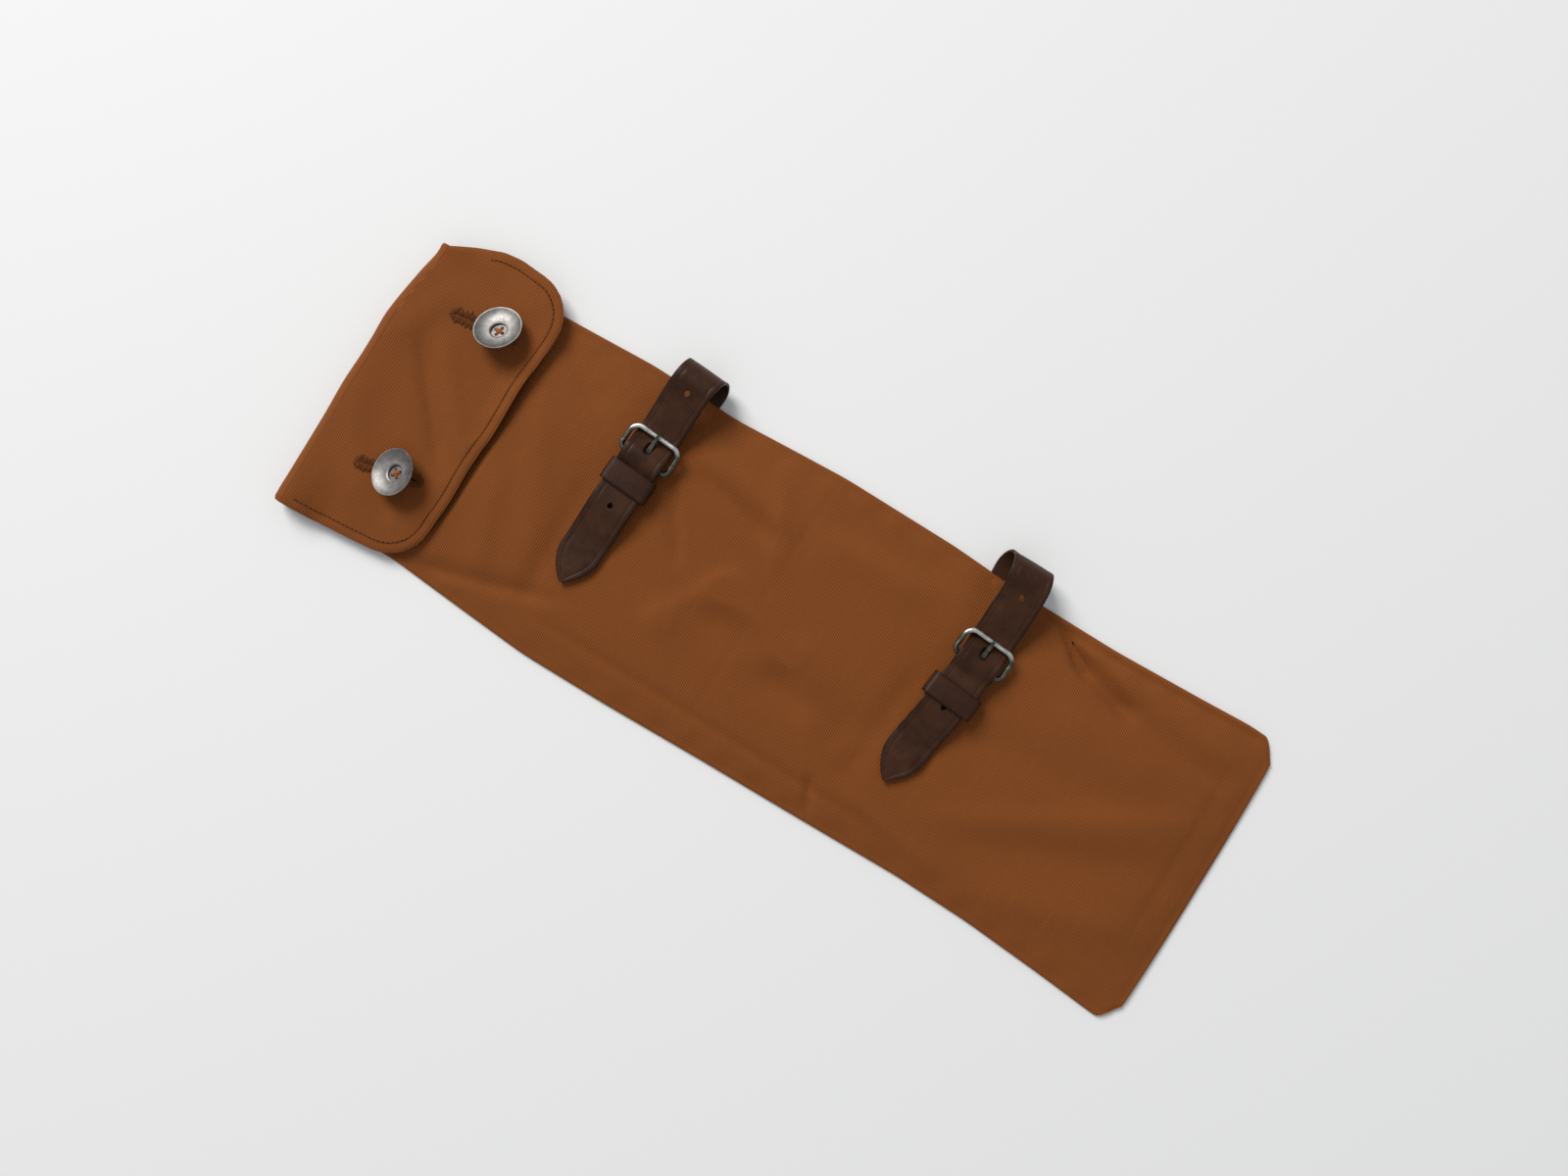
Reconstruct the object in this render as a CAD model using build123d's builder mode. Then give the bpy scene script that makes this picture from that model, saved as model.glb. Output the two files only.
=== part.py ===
"""Flat canvas brush case: a long pouch with a buttoned flap and two buckled leather straps.

The case lies on its back. +X runs from the flap's fold to the bottom seam, +Y points to the edge where the
strap loops stand out, and +Z is up, out of the front. The origin is on the back face, at the pouch's middle.
All sizes are millimetres.
"""

import os
from math import atan2, cos, degrees, radians, sin

from build123d import *

os.makedirs("parts", exist_ok=True)

# ---------------------------------------------------------------- driving dimensions
CASE_LENGTH = 410.0  # outside of the flap's fold to the bottom seam
CLOTH = 0.7  # one layer of canvas
PUFF = 8.2  # top of the front panel above the surface the case lies on
FOLD_RADIUS = 5.0  # outside of the flap's fold
STRAP_WIDTH = 18.0
STRAP_THICK = 1.6  # long strap
CHAPE_THICK = 1.2  # buckle leather and keeper
WIRE_RADIUS = 1.1  # buckle frame
THREAD = 0.35  # how far sewing thread stands out

# ---------------------------------------------------------------- pouch
END_X = CASE_LENGTH / 2
FOLD_X = FOLD_RADIUS - END_X  # axis of the flap's fold
FOLD_Z = FOLD_RADIUS
MOUTH_X = FOLD_X + 3.0
NECK_X, NECK_HALF = -150.0, 62.0  # the pouch is a little narrower under the flap
# long edges from the neck to the turned corners beside the bottom seam: (x, distance from the middle line)
LOOP_EDGE = [(-100.0, 65.0), (30.0, 66.5), (105.0, 64.5), (191.0, 67.0), (198.5, 65.0)]
FAR_EDGE = [(-85.0, 66.0), (85.0, 64.2), (160.0, 66.5), (191.0, 69.0), (199.5, 68.0)]
CORNER_HALF = 57.0
EDGE_HALF = 70.0  # more than the pouch's half width anywhere
SIDE_SLOPE, END_SLOPE, NECK_SLOPE = 16.0, 16.0, 6.0  # width of the sloping rim
SEAM = 1.6  # width over which the two panels meet
HEM_LENGTH = 12.0
CHANNEL_HALF, CHANNEL_RAMP = 12.0, 4.0  # the back panel rises over each strap
CHANNEL_RISE = STRAP_THICK + 0.2
CUT_MARGIN = 5.0
CORNER_STEP = 5.0

# ---------------------------------------------------------------- flap
FLAP_BOTTOM = PUFF + 0.2
FLAP_TOP = FLAP_BOTTOM + 2 * CLOTH
FLAP_EDGE_X, FLAP_EDGE_SLANT = -143.0, 5.0  # free edge, further out at its loop side
FLAP_FAR_Y = -62.0
FLAP_LOOP_Y = 74.0  # the flap overhangs the pouch on the loops' side
FLAP_SHOULDER_X = -171.0
FLAP_CORNER = 18.0
STITCH_INSET = 4.2
STITCH_WIDTH = 0.6
TOPSTITCH_LENGTH, TOPSTITCH_PITCH = 1.5, 2.1  # fine row round the flap
STITCH_LENGTH, STITCH_PITCH = 2.2, 3.2  # coarser rows in the leather
STITCH_SINK = 0.05  # space under the stitches on the back
SLIT_LENGTH, SLIT_WIDTH = 25.0, 3.4
WORKED_LENGTH, WORKED_WIDTH = 30.5, 6.6  # outside of the buttonhole's stitching

# ---------------------------------------------------------------- buttons
BUTTON_RADIUS = 10.0
BUTTON_SHEET = 0.6
BUTTON_TILT = 25.0
BUTTON_PIVOT_Z = FLAP_TOP + 1.0  # top of the thread shank
SHANK_RADIUS = 1.4
WEB_HEIGHT = 1.6  # underside of the button's web above the pivot
WELL_RADIUS = 3.4
WEB_HOLE_CIRCLE, WEB_HOLE_RADIUS, WEB_THREAD_RADIUS = 1.8, 0.75, 0.6
# the dish's half section as (distance from the axis, height above the pivot)
DISH_UNDER = [(WELL_RADIUS + BUTTON_SHEET, 2.7), (7.2, 3.15), (BUTTON_RADIUS, 4.2)]
DISH_RIM = [(BUTTON_RADIUS, 4.2), (BUTTON_RADIUS, 4.9), (9.6, 4.85)]
DISH_FACE = [(9.6, 4.85), (7.0, 3.75), (WELL_RADIUS + BUTTON_SHEET, 3.35)]
WELL_LIP = (WELL_RADIUS, 3.1)
CROSS_RISE = 0.5  # thread over the web
# way the face leans, middle and angle of the buttonhole, and how far along it the thread shank stands
BUTTONS = {
    1: {"lean": (-0.64, 0.77), "hole": (-167.0, 41.2), "turn": 6.5, "along": 8.2},
    2: {"lean": (-1.0, 0.0), "hole": (-169.0, -29.4), "turn": 13.0, "along": 5.1},
}

# ---------------------------------------------------------------- straps
# Lengths along a strap are measured from the pouch's middle line, positive towards the loop.
# A strap crosses the pouch at x with a skew. Its tail may bend past the buckle, which then turns a little
# too.
STRAPS = {
    1: {"x": -82.6, "skew": -3.5, "bend": 0.0, "turn": 0.0, "loop": 73.5, "holes": (60.8, 5.8)},
    2: {"x": 76.5, "skew": 0.0, "bend": -7.8, "turn": -4.5, "loop": 75.8, "holes": (61.2, 6.8)},
}
LOOP_RADIUS = 7.5
LOOP_HINGE_Z = 10.0
LOOP_GAP = 0.1  # half the gap between the sewn part and the part that swings
ANCHOR_START = 20.0
SEWN_START = 23.2
SEWN_WIDTH, SEWN_LENGTH = 4 * STITCH_PITCH, 9 * STITCH_PITCH  # a box of stitching holds it to the back
GROOVE = 2 * STITCH_WIDTH  # width of the groove that the stitches lie in
BACK_LEG_Z = STRAP_THICK / 2
PIVOT_S, PIVOT_Z = 28.5, 11.5  # buckle's pivot bar
FRONT_BAR_S, FRONT_BAR_Z = 39.8, 12.6
FRAME_HALF = 11.3  # middle of the frame's side wires
FRAME_FRONT_CORNER, FRAME_PIVOT_CORNER = 4.0, 2.2
EYE_BORE = WIRE_RADIUS + 0.08
CHAPE_WIDTH = 17.0
CHAPE_BOTTOM = PUFF + 0.1
CHAPE_END = 2.0
CHAPE_EYE = 2.5  # outside of the leather round the pivot bar
# middle of the folded buckle leather from its sewn end to the eye: (s, z)
CHAPE_PATH = [
    (CHAPE_END, CHAPE_BOTTOM + CHAPE_THICK),
    (CHAPE_END + 2.2, CHAPE_BOTTOM + CHAPE_THICK),
    (CHAPE_END + 5.0, 10.9),
    (PIVOT_S - 5.0, 10.9),
    (PIVOT_S - 2.0, PIVOT_Z - 0.2),
]
CHAPE_STITCHES, CHAPE_STITCH_IN = 5, 1.2
TONGUE_SLOT_START = 3.0  # how far behind the pivot bar the slot for the tongue starts
TONGUE_SLOT_HALF = 2.1
TONGUE_ANGLE, TONGUE_LENGTH = 15.0, 12.9
TONGUE_HALF_WIDTH, TONGUE_HALF_THICK, TONGUE_EYE = 1.1, 0.6, 2.0
TONGUE_TIP_HALF = 0.5
KEEPER_WIDTH = 10.0
KEEPER_BOTTOM, KEEPER_ROOM = PUFF + 0.1, 4.6
KEEPER_CORNER, KEEPER_INNER_CORNER = 1.9, 0.7
# keeper on each strap: its edge nearer the buckle, width inside, and how far its middle is from the buckle's
KEEPERS = {
    1: {"at": 23.5, "inner": 19.2, "shift": 0.0},
    2: {"at": 17.5, "inner": 20.6, "shift": -0.7},
}
TIP_S, TIP_LENGTH = -31.5, 15.0
TIP_FULLNESS = 0.62  # where the tip's curved sides pass, as a share of its half width and its length
TIP_JOIN = 0.5
HOLE_RADIUS = 1.9
TONGUE_HOLE_S, TONGUE_HOLE_LENGTH, TONGUE_HOLE_WIDTH = 34.2, 5.6, 3.6
BEND_S = 27.0  # where a strap's tail starts to lean
TAIL_Z = 9.2
KEPT_Z = 13.1
# middle of the long strap's leather from the top of the loop to the tip: (s, z), and a radius for each turn
BILLET_PATH = [
    (43.0, 9.9),
    (38.5, 10.1),
    (31.0, 14.95),
    (27.0, 14.95),
    (23.6, KEPT_Z),
    (5.5, KEPT_Z),
    (-10.0, TAIL_Z),
    (TIP_S, TAIL_Z),
]
BILLET_RADII = [12.0, 6.0, 4.0, 4.0, 5.0, 20.0, 20.0]
LOOP_CREST_Z = 20.8  # where the loop's two straight runs would meet


def save(part, label):
    """Writes one sub-part as its own STEP file."""
    part.label = label
    export_step(part, f"parts/{label}.step")


# ================================================================ pouch
def panel_face(height, start_x, neck_in, side_in, end_in):
    """The pouch's outline at a height, drawn in by some distance at its neck, sides and end."""
    outline = []
    for side, edge in ((1, LOOP_EDGE), (-1, FAR_EDGE)):
        half = [(start_x, NECK_HALF - neck_in), (NECK_X, NECK_HALF - neck_in)]
        half += [(min(x, END_X - end_in - CORNER_STEP), y - side_in) for x, y in edge]
        half += [(END_X - end_in, CORNER_HALF - side_in)]
        points = [(x, side * y) for x, y in half]
        outline += points if side > 0 else points[::-1]
    with BuildSketch(Plane.XY.offset(height)) as face:
        with BuildLine():
            Polyline(*outline, close=True)
        make_face()
    return face.sketch


def channel_line(height):
    """The back panel's line from the fold to the bottom seam, rising over each strap."""
    line = [(FOLD_X, height)]
    for strap in STRAPS.values():
        for side in (-1, 1):
            low = (strap["x"] + side * (CHANNEL_HALF + CHANNEL_RAMP), height)
            high = (strap["x"] + side * CHANNEL_HALF, height + CHANNEL_RISE)
            line += [low, high] if side < 0 else [high, low]
    return line + [(END_X, height)]


with BuildPart() as back_panel:
    with BuildSketch(Plane.XZ):
        with BuildLine():
            Polyline(*channel_line(0), *reversed(channel_line(CLOTH)), close=True)
        make_face()
    extrude(amount=EDGE_HALF, both=True)
    with BuildSketch() as back_outline:
        add(panel_face(0, FOLD_X, 0, 0, 0))
    extrude(amount=2 * PUFF, mode=Mode.INTERSECT)
save(back_panel.part, "back_panel")

with BuildPart() as front_panel:
    add(
        loft(
            [
                panel_face(CLOTH, MOUTH_X, 0, 0, 0),
                panel_face(PUFF, MOUTH_X, NECK_SLOPE, SIDE_SLOPE, END_SLOPE),
            ],
            ruled=True,
            mode=Mode.PRIVATE,
        )
    )
    # the space for the brushes, open at the mouth
    room_start = MOUTH_X - CUT_MARGIN
    room = loft(
        [
            panel_face(CLOTH, room_start, SEAM, SEAM, SEAM),
            panel_face(PUFF - CLOTH, room_start, NECK_SLOPE + SEAM, SIDE_SLOPE + SEAM, END_SLOPE + SEAM),
        ],
        ruled=True,
        mode=Mode.PRIVATE,
    )
    add(room, mode=Mode.SUBTRACT)
    # the mouth's edge is turned in and sewn down as a hem
    with BuildSketch(Plane.XY.offset(PUFF - 2 * CLOTH)):
        with Locations((MOUTH_X + HEM_LENGTH / 2, 0)):
            Rectangle(HEM_LENGTH, 2 * (NECK_HALF - NECK_SLOPE - 2 * SEAM))
    extrude(amount=CLOTH)
    # the side seams follow the back panel over the straps
    with BuildSketch(Plane.XZ):
        with BuildLine():
            Polyline((END_X, -CLOTH), (FOLD_X, -CLOTH), *channel_line(CLOTH), close=True)
        make_face()
    extrude(amount=EDGE_HALF, both=True, mode=Mode.SUBTRACT)
save(front_panel.part, "front_panel")

with BuildPart() as flap_fold_strip:
    with BuildSketch(Plane.XZ):
        with Locations((FOLD_X, FOLD_Z)):
            Circle(FOLD_RADIUS)
            Circle(FOLD_RADIUS - CLOTH, mode=Mode.SUBTRACT)
        with Locations((FOLD_X + FOLD_RADIUS, FOLD_Z)):
            Rectangle(2 * FOLD_RADIUS, 2 * FOLD_RADIUS, mode=Mode.SUBTRACT)
    extrude(amount=NECK_HALF, both=True)
save(flap_fold_strip.part, "flap_fold_strip")


# ================================================================ flap
def flap_outline(inset):
    """The flap's corners from its fold round its free edge, drawn in by an inset."""
    return [
        (FOLD_X, -NECK_HALF + inset),
        (FLAP_EDGE_X - inset, FLAP_FAR_Y + inset),
        (FLAP_EDGE_X + FLAP_EDGE_SLANT - inset, FLAP_LOOP_Y - inset),
        (FLAP_SHOULDER_X, FLAP_LOOP_Y - inset),
        (FOLD_X, NECK_HALF - inset),
    ]


def flap_face():
    """The flap's outline with its two buttonhole slits."""
    with BuildSketch() as face:
        with BuildLine():
            Polyline(*flap_outline(0), close=True)
        make_face()
        fillet(face.vertices().sort_by(Axis.X)[2:], FLAP_CORNER)
        for button in BUTTONS.values():
            with Locations(button["hole"]):
                SlotOverall(SLIT_LENGTH, SLIT_WIDTH, rotation=button["turn"], mode=Mode.SUBTRACT)
    return face.sketch


for label, bottom in (("flap_lining", FLAP_BOTTOM), ("flap_outer", FLAP_BOTTOM + CLOTH)):
    with BuildPart() as flap_layer:
        with BuildSketch(Plane.XY.offset(bottom)):
            add(flap_face())
        extrude(amount=CLOTH)
    save(flap_layer.part, label)

with BuildLine() as stitch_line:
    FilletPolyline(*flap_outline(STITCH_INSET), radius=FLAP_CORNER - STITCH_INSET)


def stitch_places(line, height, pitch):
    """Evenly spaced places for stitches along a flat line, each turned along it."""
    count = round(line.length / pitch)
    places = []
    for number in range(count):
        share = (number + 0.5) / count
        point, way = line @ share, line % share
        places.append(Location((point.X, point.Y, height), (0, 0, degrees(atan2(way.Y, way.X)))))
    return places


with BuildPart() as flap_topstitching:
    with Locations(*stitch_places(stitch_line.wire(), FLAP_TOP, TOPSTITCH_PITCH)):
        Box(TOPSTITCH_LENGTH, STITCH_WIDTH, THREAD, align=(Align.CENTER, Align.CENTER, Align.MIN))
save(flap_topstitching.part, "flap_topstitching")

for number, button in BUTTONS.items():
    with BuildPart() as worked_edge:
        with BuildSketch(Plane.XY.offset(FLAP_TOP)):
            with Locations(button["hole"]):
                SlotOverall(WORKED_LENGTH, WORKED_WIDTH, rotation=button["turn"])
                SlotOverall(SLIT_LENGTH, SLIT_WIDTH, rotation=button["turn"], mode=Mode.SUBTRACT)
        extrude(amount=THREAD)
    save(worked_edge.part, f"buttonhole_stitching_{number}")


# ================================================================ buttons
def shank_place(button):
    """Where a button's thread shank stands, part of the way along its buttonhole."""
    x, y = button["hole"]
    turn = radians(button["turn"])
    return (x + button["along"] * cos(turn), y + button["along"] * sin(turn))


def button_planes(button):
    """The plane of a leaning button, and the plane of its half section with its axis as the plane's Y."""
    lean = Vector(*button["lean"], 0).normalized()
    normal = lean * sin(radians(BUTTON_TILT)) + Vector(0, 0, cos(radians(BUTTON_TILT)))
    across = Vector(0, 0, 1).cross(lean)
    origin = (*shank_place(button), BUTTON_PIVOT_Z)
    return (
        Plane(origin=origin, x_dir=across, z_dir=normal),
        Plane(origin=origin, x_dir=across, z_dir=across.cross(normal)),
    )


for number, button in BUTTONS.items():
    face_plane, section_plane = button_planes(button)
    # a dished sheet-metal disc whose middle is drawn down into a well with a flat web
    with BuildPart() as button_disc:
        with BuildSketch(section_plane):
            with BuildLine():
                Polyline(
                    (0, WEB_HEIGHT + BUTTON_SHEET),
                    (0, WEB_HEIGHT),
                    (WELL_RADIUS + BUTTON_SHEET, WEB_HEIGHT),
                    DISH_UNDER[0],
                )
                ThreePointArc(*DISH_UNDER)
                Polyline(*DISH_RIM)
                ThreePointArc(*DISH_FACE)
                Polyline(
                    DISH_FACE[-1],
                    WELL_LIP,
                    (WELL_RADIUS, WEB_HEIGHT + BUTTON_SHEET),
                    (0, WEB_HEIGHT + BUTTON_SHEET),
                )
            make_face()
        revolve(axis=Axis(face_plane.origin, face_plane.z_dir))
        with BuildSketch(face_plane.offset(WEB_HEIGHT)):
            with PolarLocations(WEB_HOLE_CIRCLE, 4, start_angle=45):
                Circle(WEB_HOLE_RADIUS)
        extrude(amount=BUTTON_SHEET, mode=Mode.SUBTRACT)
    save(button_disc.part, f"button_disc_{number}")

    # thread crossed over the web, with its four ends going down through the holes
    with BuildPart() as thread_cross:
        with BuildSketch(face_plane.offset(WEB_HEIGHT + BUTTON_SHEET)):
            for turn in (45, 135):
                SlotOverall(2 * (WEB_HOLE_CIRCLE + WEB_THREAD_RADIUS), 2 * WEB_THREAD_RADIUS, rotation=turn)
        extrude(amount=CROSS_RISE)
        with BuildSketch(face_plane.offset(WEB_HEIGHT)):
            with PolarLocations(WEB_HOLE_CIRCLE, 4, start_angle=45):
                Circle(WEB_THREAD_RADIUS)
        extrude(amount=BUTTON_SHEET)
    save(thread_cross.part, f"button_thread_cross_{number}")

    # thread wound round into a shank, from the front panel up through the buttonhole
    with BuildPart() as thread_shank:
        with BuildSketch(Plane.XY.offset(PUFF)):
            with Locations(shank_place(button)):
                Circle(SHANK_RADIUS)
        extrude(amount=BUTTON_PIVOT_Z - PUFF)
        with Locations((*shank_place(button), BUTTON_PIVOT_Z)):
            Sphere(SHANK_RADIUS)
    save(thread_shank.part, f"button_thread_shank_{number}")


# ================================================================ straps
def bench_plane(strap):
    """A strap's own plane: X across it, Y along it towards the loop, turned about its buckle's place."""
    turn = radians(strap["skew"])
    along = Vector(-sin(turn), cos(turn), 0)
    buckle = Vector(strap["x"], PIVOT_S, 0)
    return Plane(origin=buckle - along * PIVOT_S, x_dir=(cos(turn), sin(turn), 0), z_dir=(0, 0, 1))


def turned_about_pivot(bench, angle):
    """A strap's plane turned further about the place of its buckle's pivot bar."""
    turn = radians(angle)
    x_dir = bench.x_dir * cos(turn) + bench.y_dir * sin(turn)
    y_dir = bench.y_dir * cos(turn) - bench.x_dir * sin(turn)
    pivot = bench.from_local_coords(Vector(0, PIVOT_S, 0))
    return Plane(origin=pivot - y_dir * PIVOT_S, x_dir=x_dir, z_dir=(0, 0, 1))


def side_plane(bench):
    """Plane of a strap's side view: X along the strap, Y up."""
    return Plane(origin=bench.origin, x_dir=bench.y_dir, z_dir=bench.x_dir)


def cross_plane(bench, place):
    """Plane across a strap at some length along it: X across, Y up, facing the tip."""
    return Plane(origin=bench.from_local_coords(Vector(0, place, 0)), x_dir=bench.x_dir, z_dir=-bench.y_dir)


def tip_face():
    """The pointed end of a strap, with two curved sides, pointing along -Y."""
    half = STRAP_WIDTH / 2
    with BuildSketch() as tip:
        with BuildLine():
            Polyline((-half, 0), (-half, TIP_JOIN), (half, TIP_JOIN), (half, 0))
            ThreePointArc((half, 0), (TIP_FULLNESS * half, -TIP_FULLNESS * TIP_LENGTH), (0, -TIP_LENGTH))
            ThreePointArc((0, -TIP_LENGTH), (-TIP_FULLNESS * half, -TIP_FULLNESS * TIP_LENGTH), (-half, 0))
        make_face()
    return tip.sketch


def tail_place(strap, place):
    """How far across a bent tail's middle lies at some length along the strap."""
    return (BEND_S - place) * sin(radians(strap["bend"])) if place < BEND_S else 0.0


for number, strap in STRAPS.items():
    bench = bench_plane(strap)
    side = side_plane(bench)
    buckle_bench = turned_about_pivot(bench, strap["turn"])
    buckle_side = side_plane(buckle_bench)
    reach = radians(TONGUE_ANGLE)
    frame_rise = atan2(FRONT_BAR_Z - PIVOT_Z, FRONT_BAR_S - PIVOT_S)

    # the part sewn to the back, out past the pouch's edge and half way up the loop
    with BuildPart() as strap_anchor:
        with BuildSketch(side):
            with BuildLine():
                FilletPolyline(
                    (ANCHOR_START, BACK_LEG_Z),
                    (strap["loop"], BACK_LEG_Z),
                    (strap["loop"], LOOP_HINGE_Z - LOOP_GAP),
                    radius=LOOP_RADIUS,
                )
            trace(line_width=STRAP_THICK)
        extrude(amount=STRAP_WIDTH / 2, both=True)
        with BuildSketch(bench):
            with Locations((0, SEWN_START + SEWN_LENGTH / 2)):
                Rectangle(SEWN_WIDTH + GROOVE, SEWN_LENGTH + GROOVE)
                Rectangle(SEWN_WIDTH - GROOVE, SEWN_LENGTH - GROOVE, mode=Mode.SUBTRACT)
        extrude(amount=THREAD + STITCH_SINK, mode=Mode.SUBTRACT)
    save(strap_anchor.part, f"strap_anchor_{number}")

    with BuildLine() as anchor_line:
        Polyline(
            (-SEWN_WIDTH / 2, SEWN_START),
            (SEWN_WIDTH / 2, SEWN_START),
            (SEWN_WIDTH / 2, SEWN_START + SEWN_LENGTH),
            (-SEWN_WIDTH / 2, SEWN_START + SEWN_LENGTH),
            close=True,
        )
    with BuildPart() as anchor_stitching:
        places = stitch_places(anchor_line.wire(), STITCH_SINK, STITCH_PITCH)
        with Locations(*[bench.location * place for place in places]):
            Box(STITCH_LENGTH, STITCH_WIDTH, THREAD, align=(Align.CENTER, Align.CENTER, Align.MIN))
    save(anchor_stitching.part, f"strap_anchor_stitching_{number}")

    # the long free part: down from the loop, through the buckle and keeper, to the pointed tip
    with BuildPart() as strap_billet:
        with BuildSketch(side):
            with BuildLine():
                FilletPolyline(
                    (strap["loop"], LOOP_HINGE_Z + LOOP_GAP),
                    (strap["loop"], LOOP_CREST_Z),
                    *BILLET_PATH,
                    radius=[LOOP_RADIUS, *BILLET_RADII],
                )
            trace(line_width=STRAP_THICK)
        extrude(amount=STRAP_WIDTH, both=True)
        tip_start = TIP_S + TIP_LENGTH
        middle = [(0, strap["loop"] + CUT_MARGIN), (0, BEND_S), (tail_place(strap, tip_start), tip_start)]
        with BuildSketch(bench):
            with BuildLine():
                Polyline(*middle)
            trace(line_width=STRAP_WIDTH)
            add(Location((*middle[-1], 0), (0, 0, strap["bend"])) * tip_face())
            with Locations(*[(tail_place(strap, place), place) for place in strap["holes"]]):
                Circle(HOLE_RADIUS, mode=Mode.SUBTRACT)
            with Locations((0, TONGUE_HOLE_S)):
                SlotOverall(TONGUE_HOLE_LENGTH, TONGUE_HOLE_WIDTH, rotation=90, mode=Mode.SUBTRACT)
        extrude(amount=3 * PUFF, mode=Mode.INTERSECT)
    save(strap_billet.part, f"strap_billet_{number}")

    # buckle leather: folded double round the pivot bar, slotted for the tongue, sewn down at its end
    with BuildPart() as chape:
        with BuildSketch(buckle_side):
            with BuildLine():
                Polyline(*CHAPE_PATH)
            trace(line_width=2 * CHAPE_THICK)
            with Locations((PIVOT_S, PIVOT_Z)):
                Circle(CHAPE_EYE)
                Circle(EYE_BORE, mode=Mode.SUBTRACT)
        extrude(amount=CHAPE_WIDTH / 2, both=True)
        with BuildSketch(buckle_bench):
            with Locations((0, PIVOT_S)):
                Rectangle(2 * TONGUE_SLOT_HALF, 2 * TONGUE_SLOT_START)
        extrude(amount=3 * PUFF, mode=Mode.SUBTRACT)
    save(chape.part, f"chape_{number}")

    with BuildPart() as chape_stitching:
        row = Location((0, CHAPE_END + CHAPE_STITCH_IN, CHAPE_BOTTOM + 2 * CHAPE_THICK))
        with Locations(buckle_bench.location * row):
            with GridLocations(STITCH_PITCH, 1, CHAPE_STITCHES, 1):
                Box(STITCH_LENGTH, STITCH_WIDTH, THREAD, align=(Align.CENTER, Align.CENTER, Align.MIN))
    save(chape_stitching.part, f"chape_stitching_{number}")

    # keeper: a leather ring that slides on the buckle leather and holds the strap's tail
    with BuildPart() as keeper_loop:
        keeper = KEEPERS[number]
        keeper_inner = keeper["inner"]
        leather = 2 * CHAPE_THICK
        with BuildSketch(cross_plane(buckle_bench, keeper["at"])):
            with Locations((keeper["shift"], KEEPER_BOTTOM + CHAPE_THICK + KEEPER_ROOM / 2)):
                RectangleRounded(keeper_inner + leather, KEEPER_ROOM + leather, KEEPER_CORNER)
                RectangleRounded(keeper_inner, KEEPER_ROOM, KEEPER_INNER_CORNER, mode=Mode.SUBTRACT)
        extrude(amount=KEEPER_WIDTH)
    save(keeper_loop.part, f"keeper_loop_{number}")

    # buckle frame: one round wire bent into a ring, its near side the pivot bar
    frame_length = (FRONT_BAR_S - PIVOT_S) / cos(frame_rise)
    pivot = buckle_bench.from_local_coords(Vector(0, PIVOT_S, PIVOT_Z))
    frame_plane = Plane(
        origin=pivot,
        x_dir=buckle_bench.x_dir,
        z_dir=buckle_bench.z_dir * cos(frame_rise) - buckle_bench.y_dir * sin(frame_rise),
    )
    with BuildPart() as buckle_frame:
        with BuildLine(frame_plane) as ring:
            FilletPolyline(
                (FRAME_HALF, 0),
                (FRAME_HALF, frame_length),
                (-FRAME_HALF, frame_length),
                (-FRAME_HALF, 0),
                radius=[FRAME_PIVOT_CORNER, FRAME_FRONT_CORNER, FRAME_FRONT_CORNER, FRAME_PIVOT_CORNER],
                close=True,
            )
        with BuildSketch(Plane(ring.wire() ^ 0)):
            Circle(WIRE_RADIUS)
        sweep(path=ring.wire())
    save(buckle_frame.part, f"buckle_frame_{number}")

    # tongue: an eye round the pivot bar and a pin up through the strap's hole onto the front bar
    with BuildPart() as buckle_tongue:
        with BuildSketch(buckle_side):
            with Locations((PIVOT_S, PIVOT_Z)):
                Circle(TONGUE_EYE)
            with BuildLine():
                Line(
                    (PIVOT_S, PIVOT_Z),
                    (PIVOT_S + TONGUE_LENGTH * cos(reach), PIVOT_Z + TONGUE_LENGTH * sin(reach)),
                )
            trace(line_width=2 * TONGUE_HALF_THICK)
            with Locations((PIVOT_S, PIVOT_Z)):
                Circle(EYE_BORE, mode=Mode.SUBTRACT)
        extrude(amount=TONGUE_HALF_WIDTH, both=True)
        # its sides draw in towards the tip
        tongue_end = PIVOT_S + TONGUE_LENGTH
        with BuildSketch(buckle_bench):
            with BuildLine():
                Polyline(
                    (-TONGUE_HALF_WIDTH, PIVOT_S - TONGUE_EYE),
                    (TONGUE_HALF_WIDTH, PIVOT_S - TONGUE_EYE),
                    (TONGUE_HALF_WIDTH, PIVOT_S + TONGUE_EYE),
                    (TONGUE_TIP_HALF, tongue_end),
                    (-TONGUE_TIP_HALF, tongue_end),
                    (-TONGUE_HALF_WIDTH, PIVOT_S + TONGUE_EYE),
                    close=True,
                )
            make_face()
        extrude(amount=3 * PUFF, mode=Mode.INTERSECT)
    save(buckle_tongue.part, f"buckle_tongue_{number}")
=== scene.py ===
"""The looks of a canvas brush case: a flat pouch with a buttoned flap and two buckled leather straps.

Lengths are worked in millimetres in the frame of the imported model, +X from the flap's fold to the bottom
seam and +Y to the edge where the strap loops stand out, and become metres as each mesh is made.
"""

import math

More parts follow.
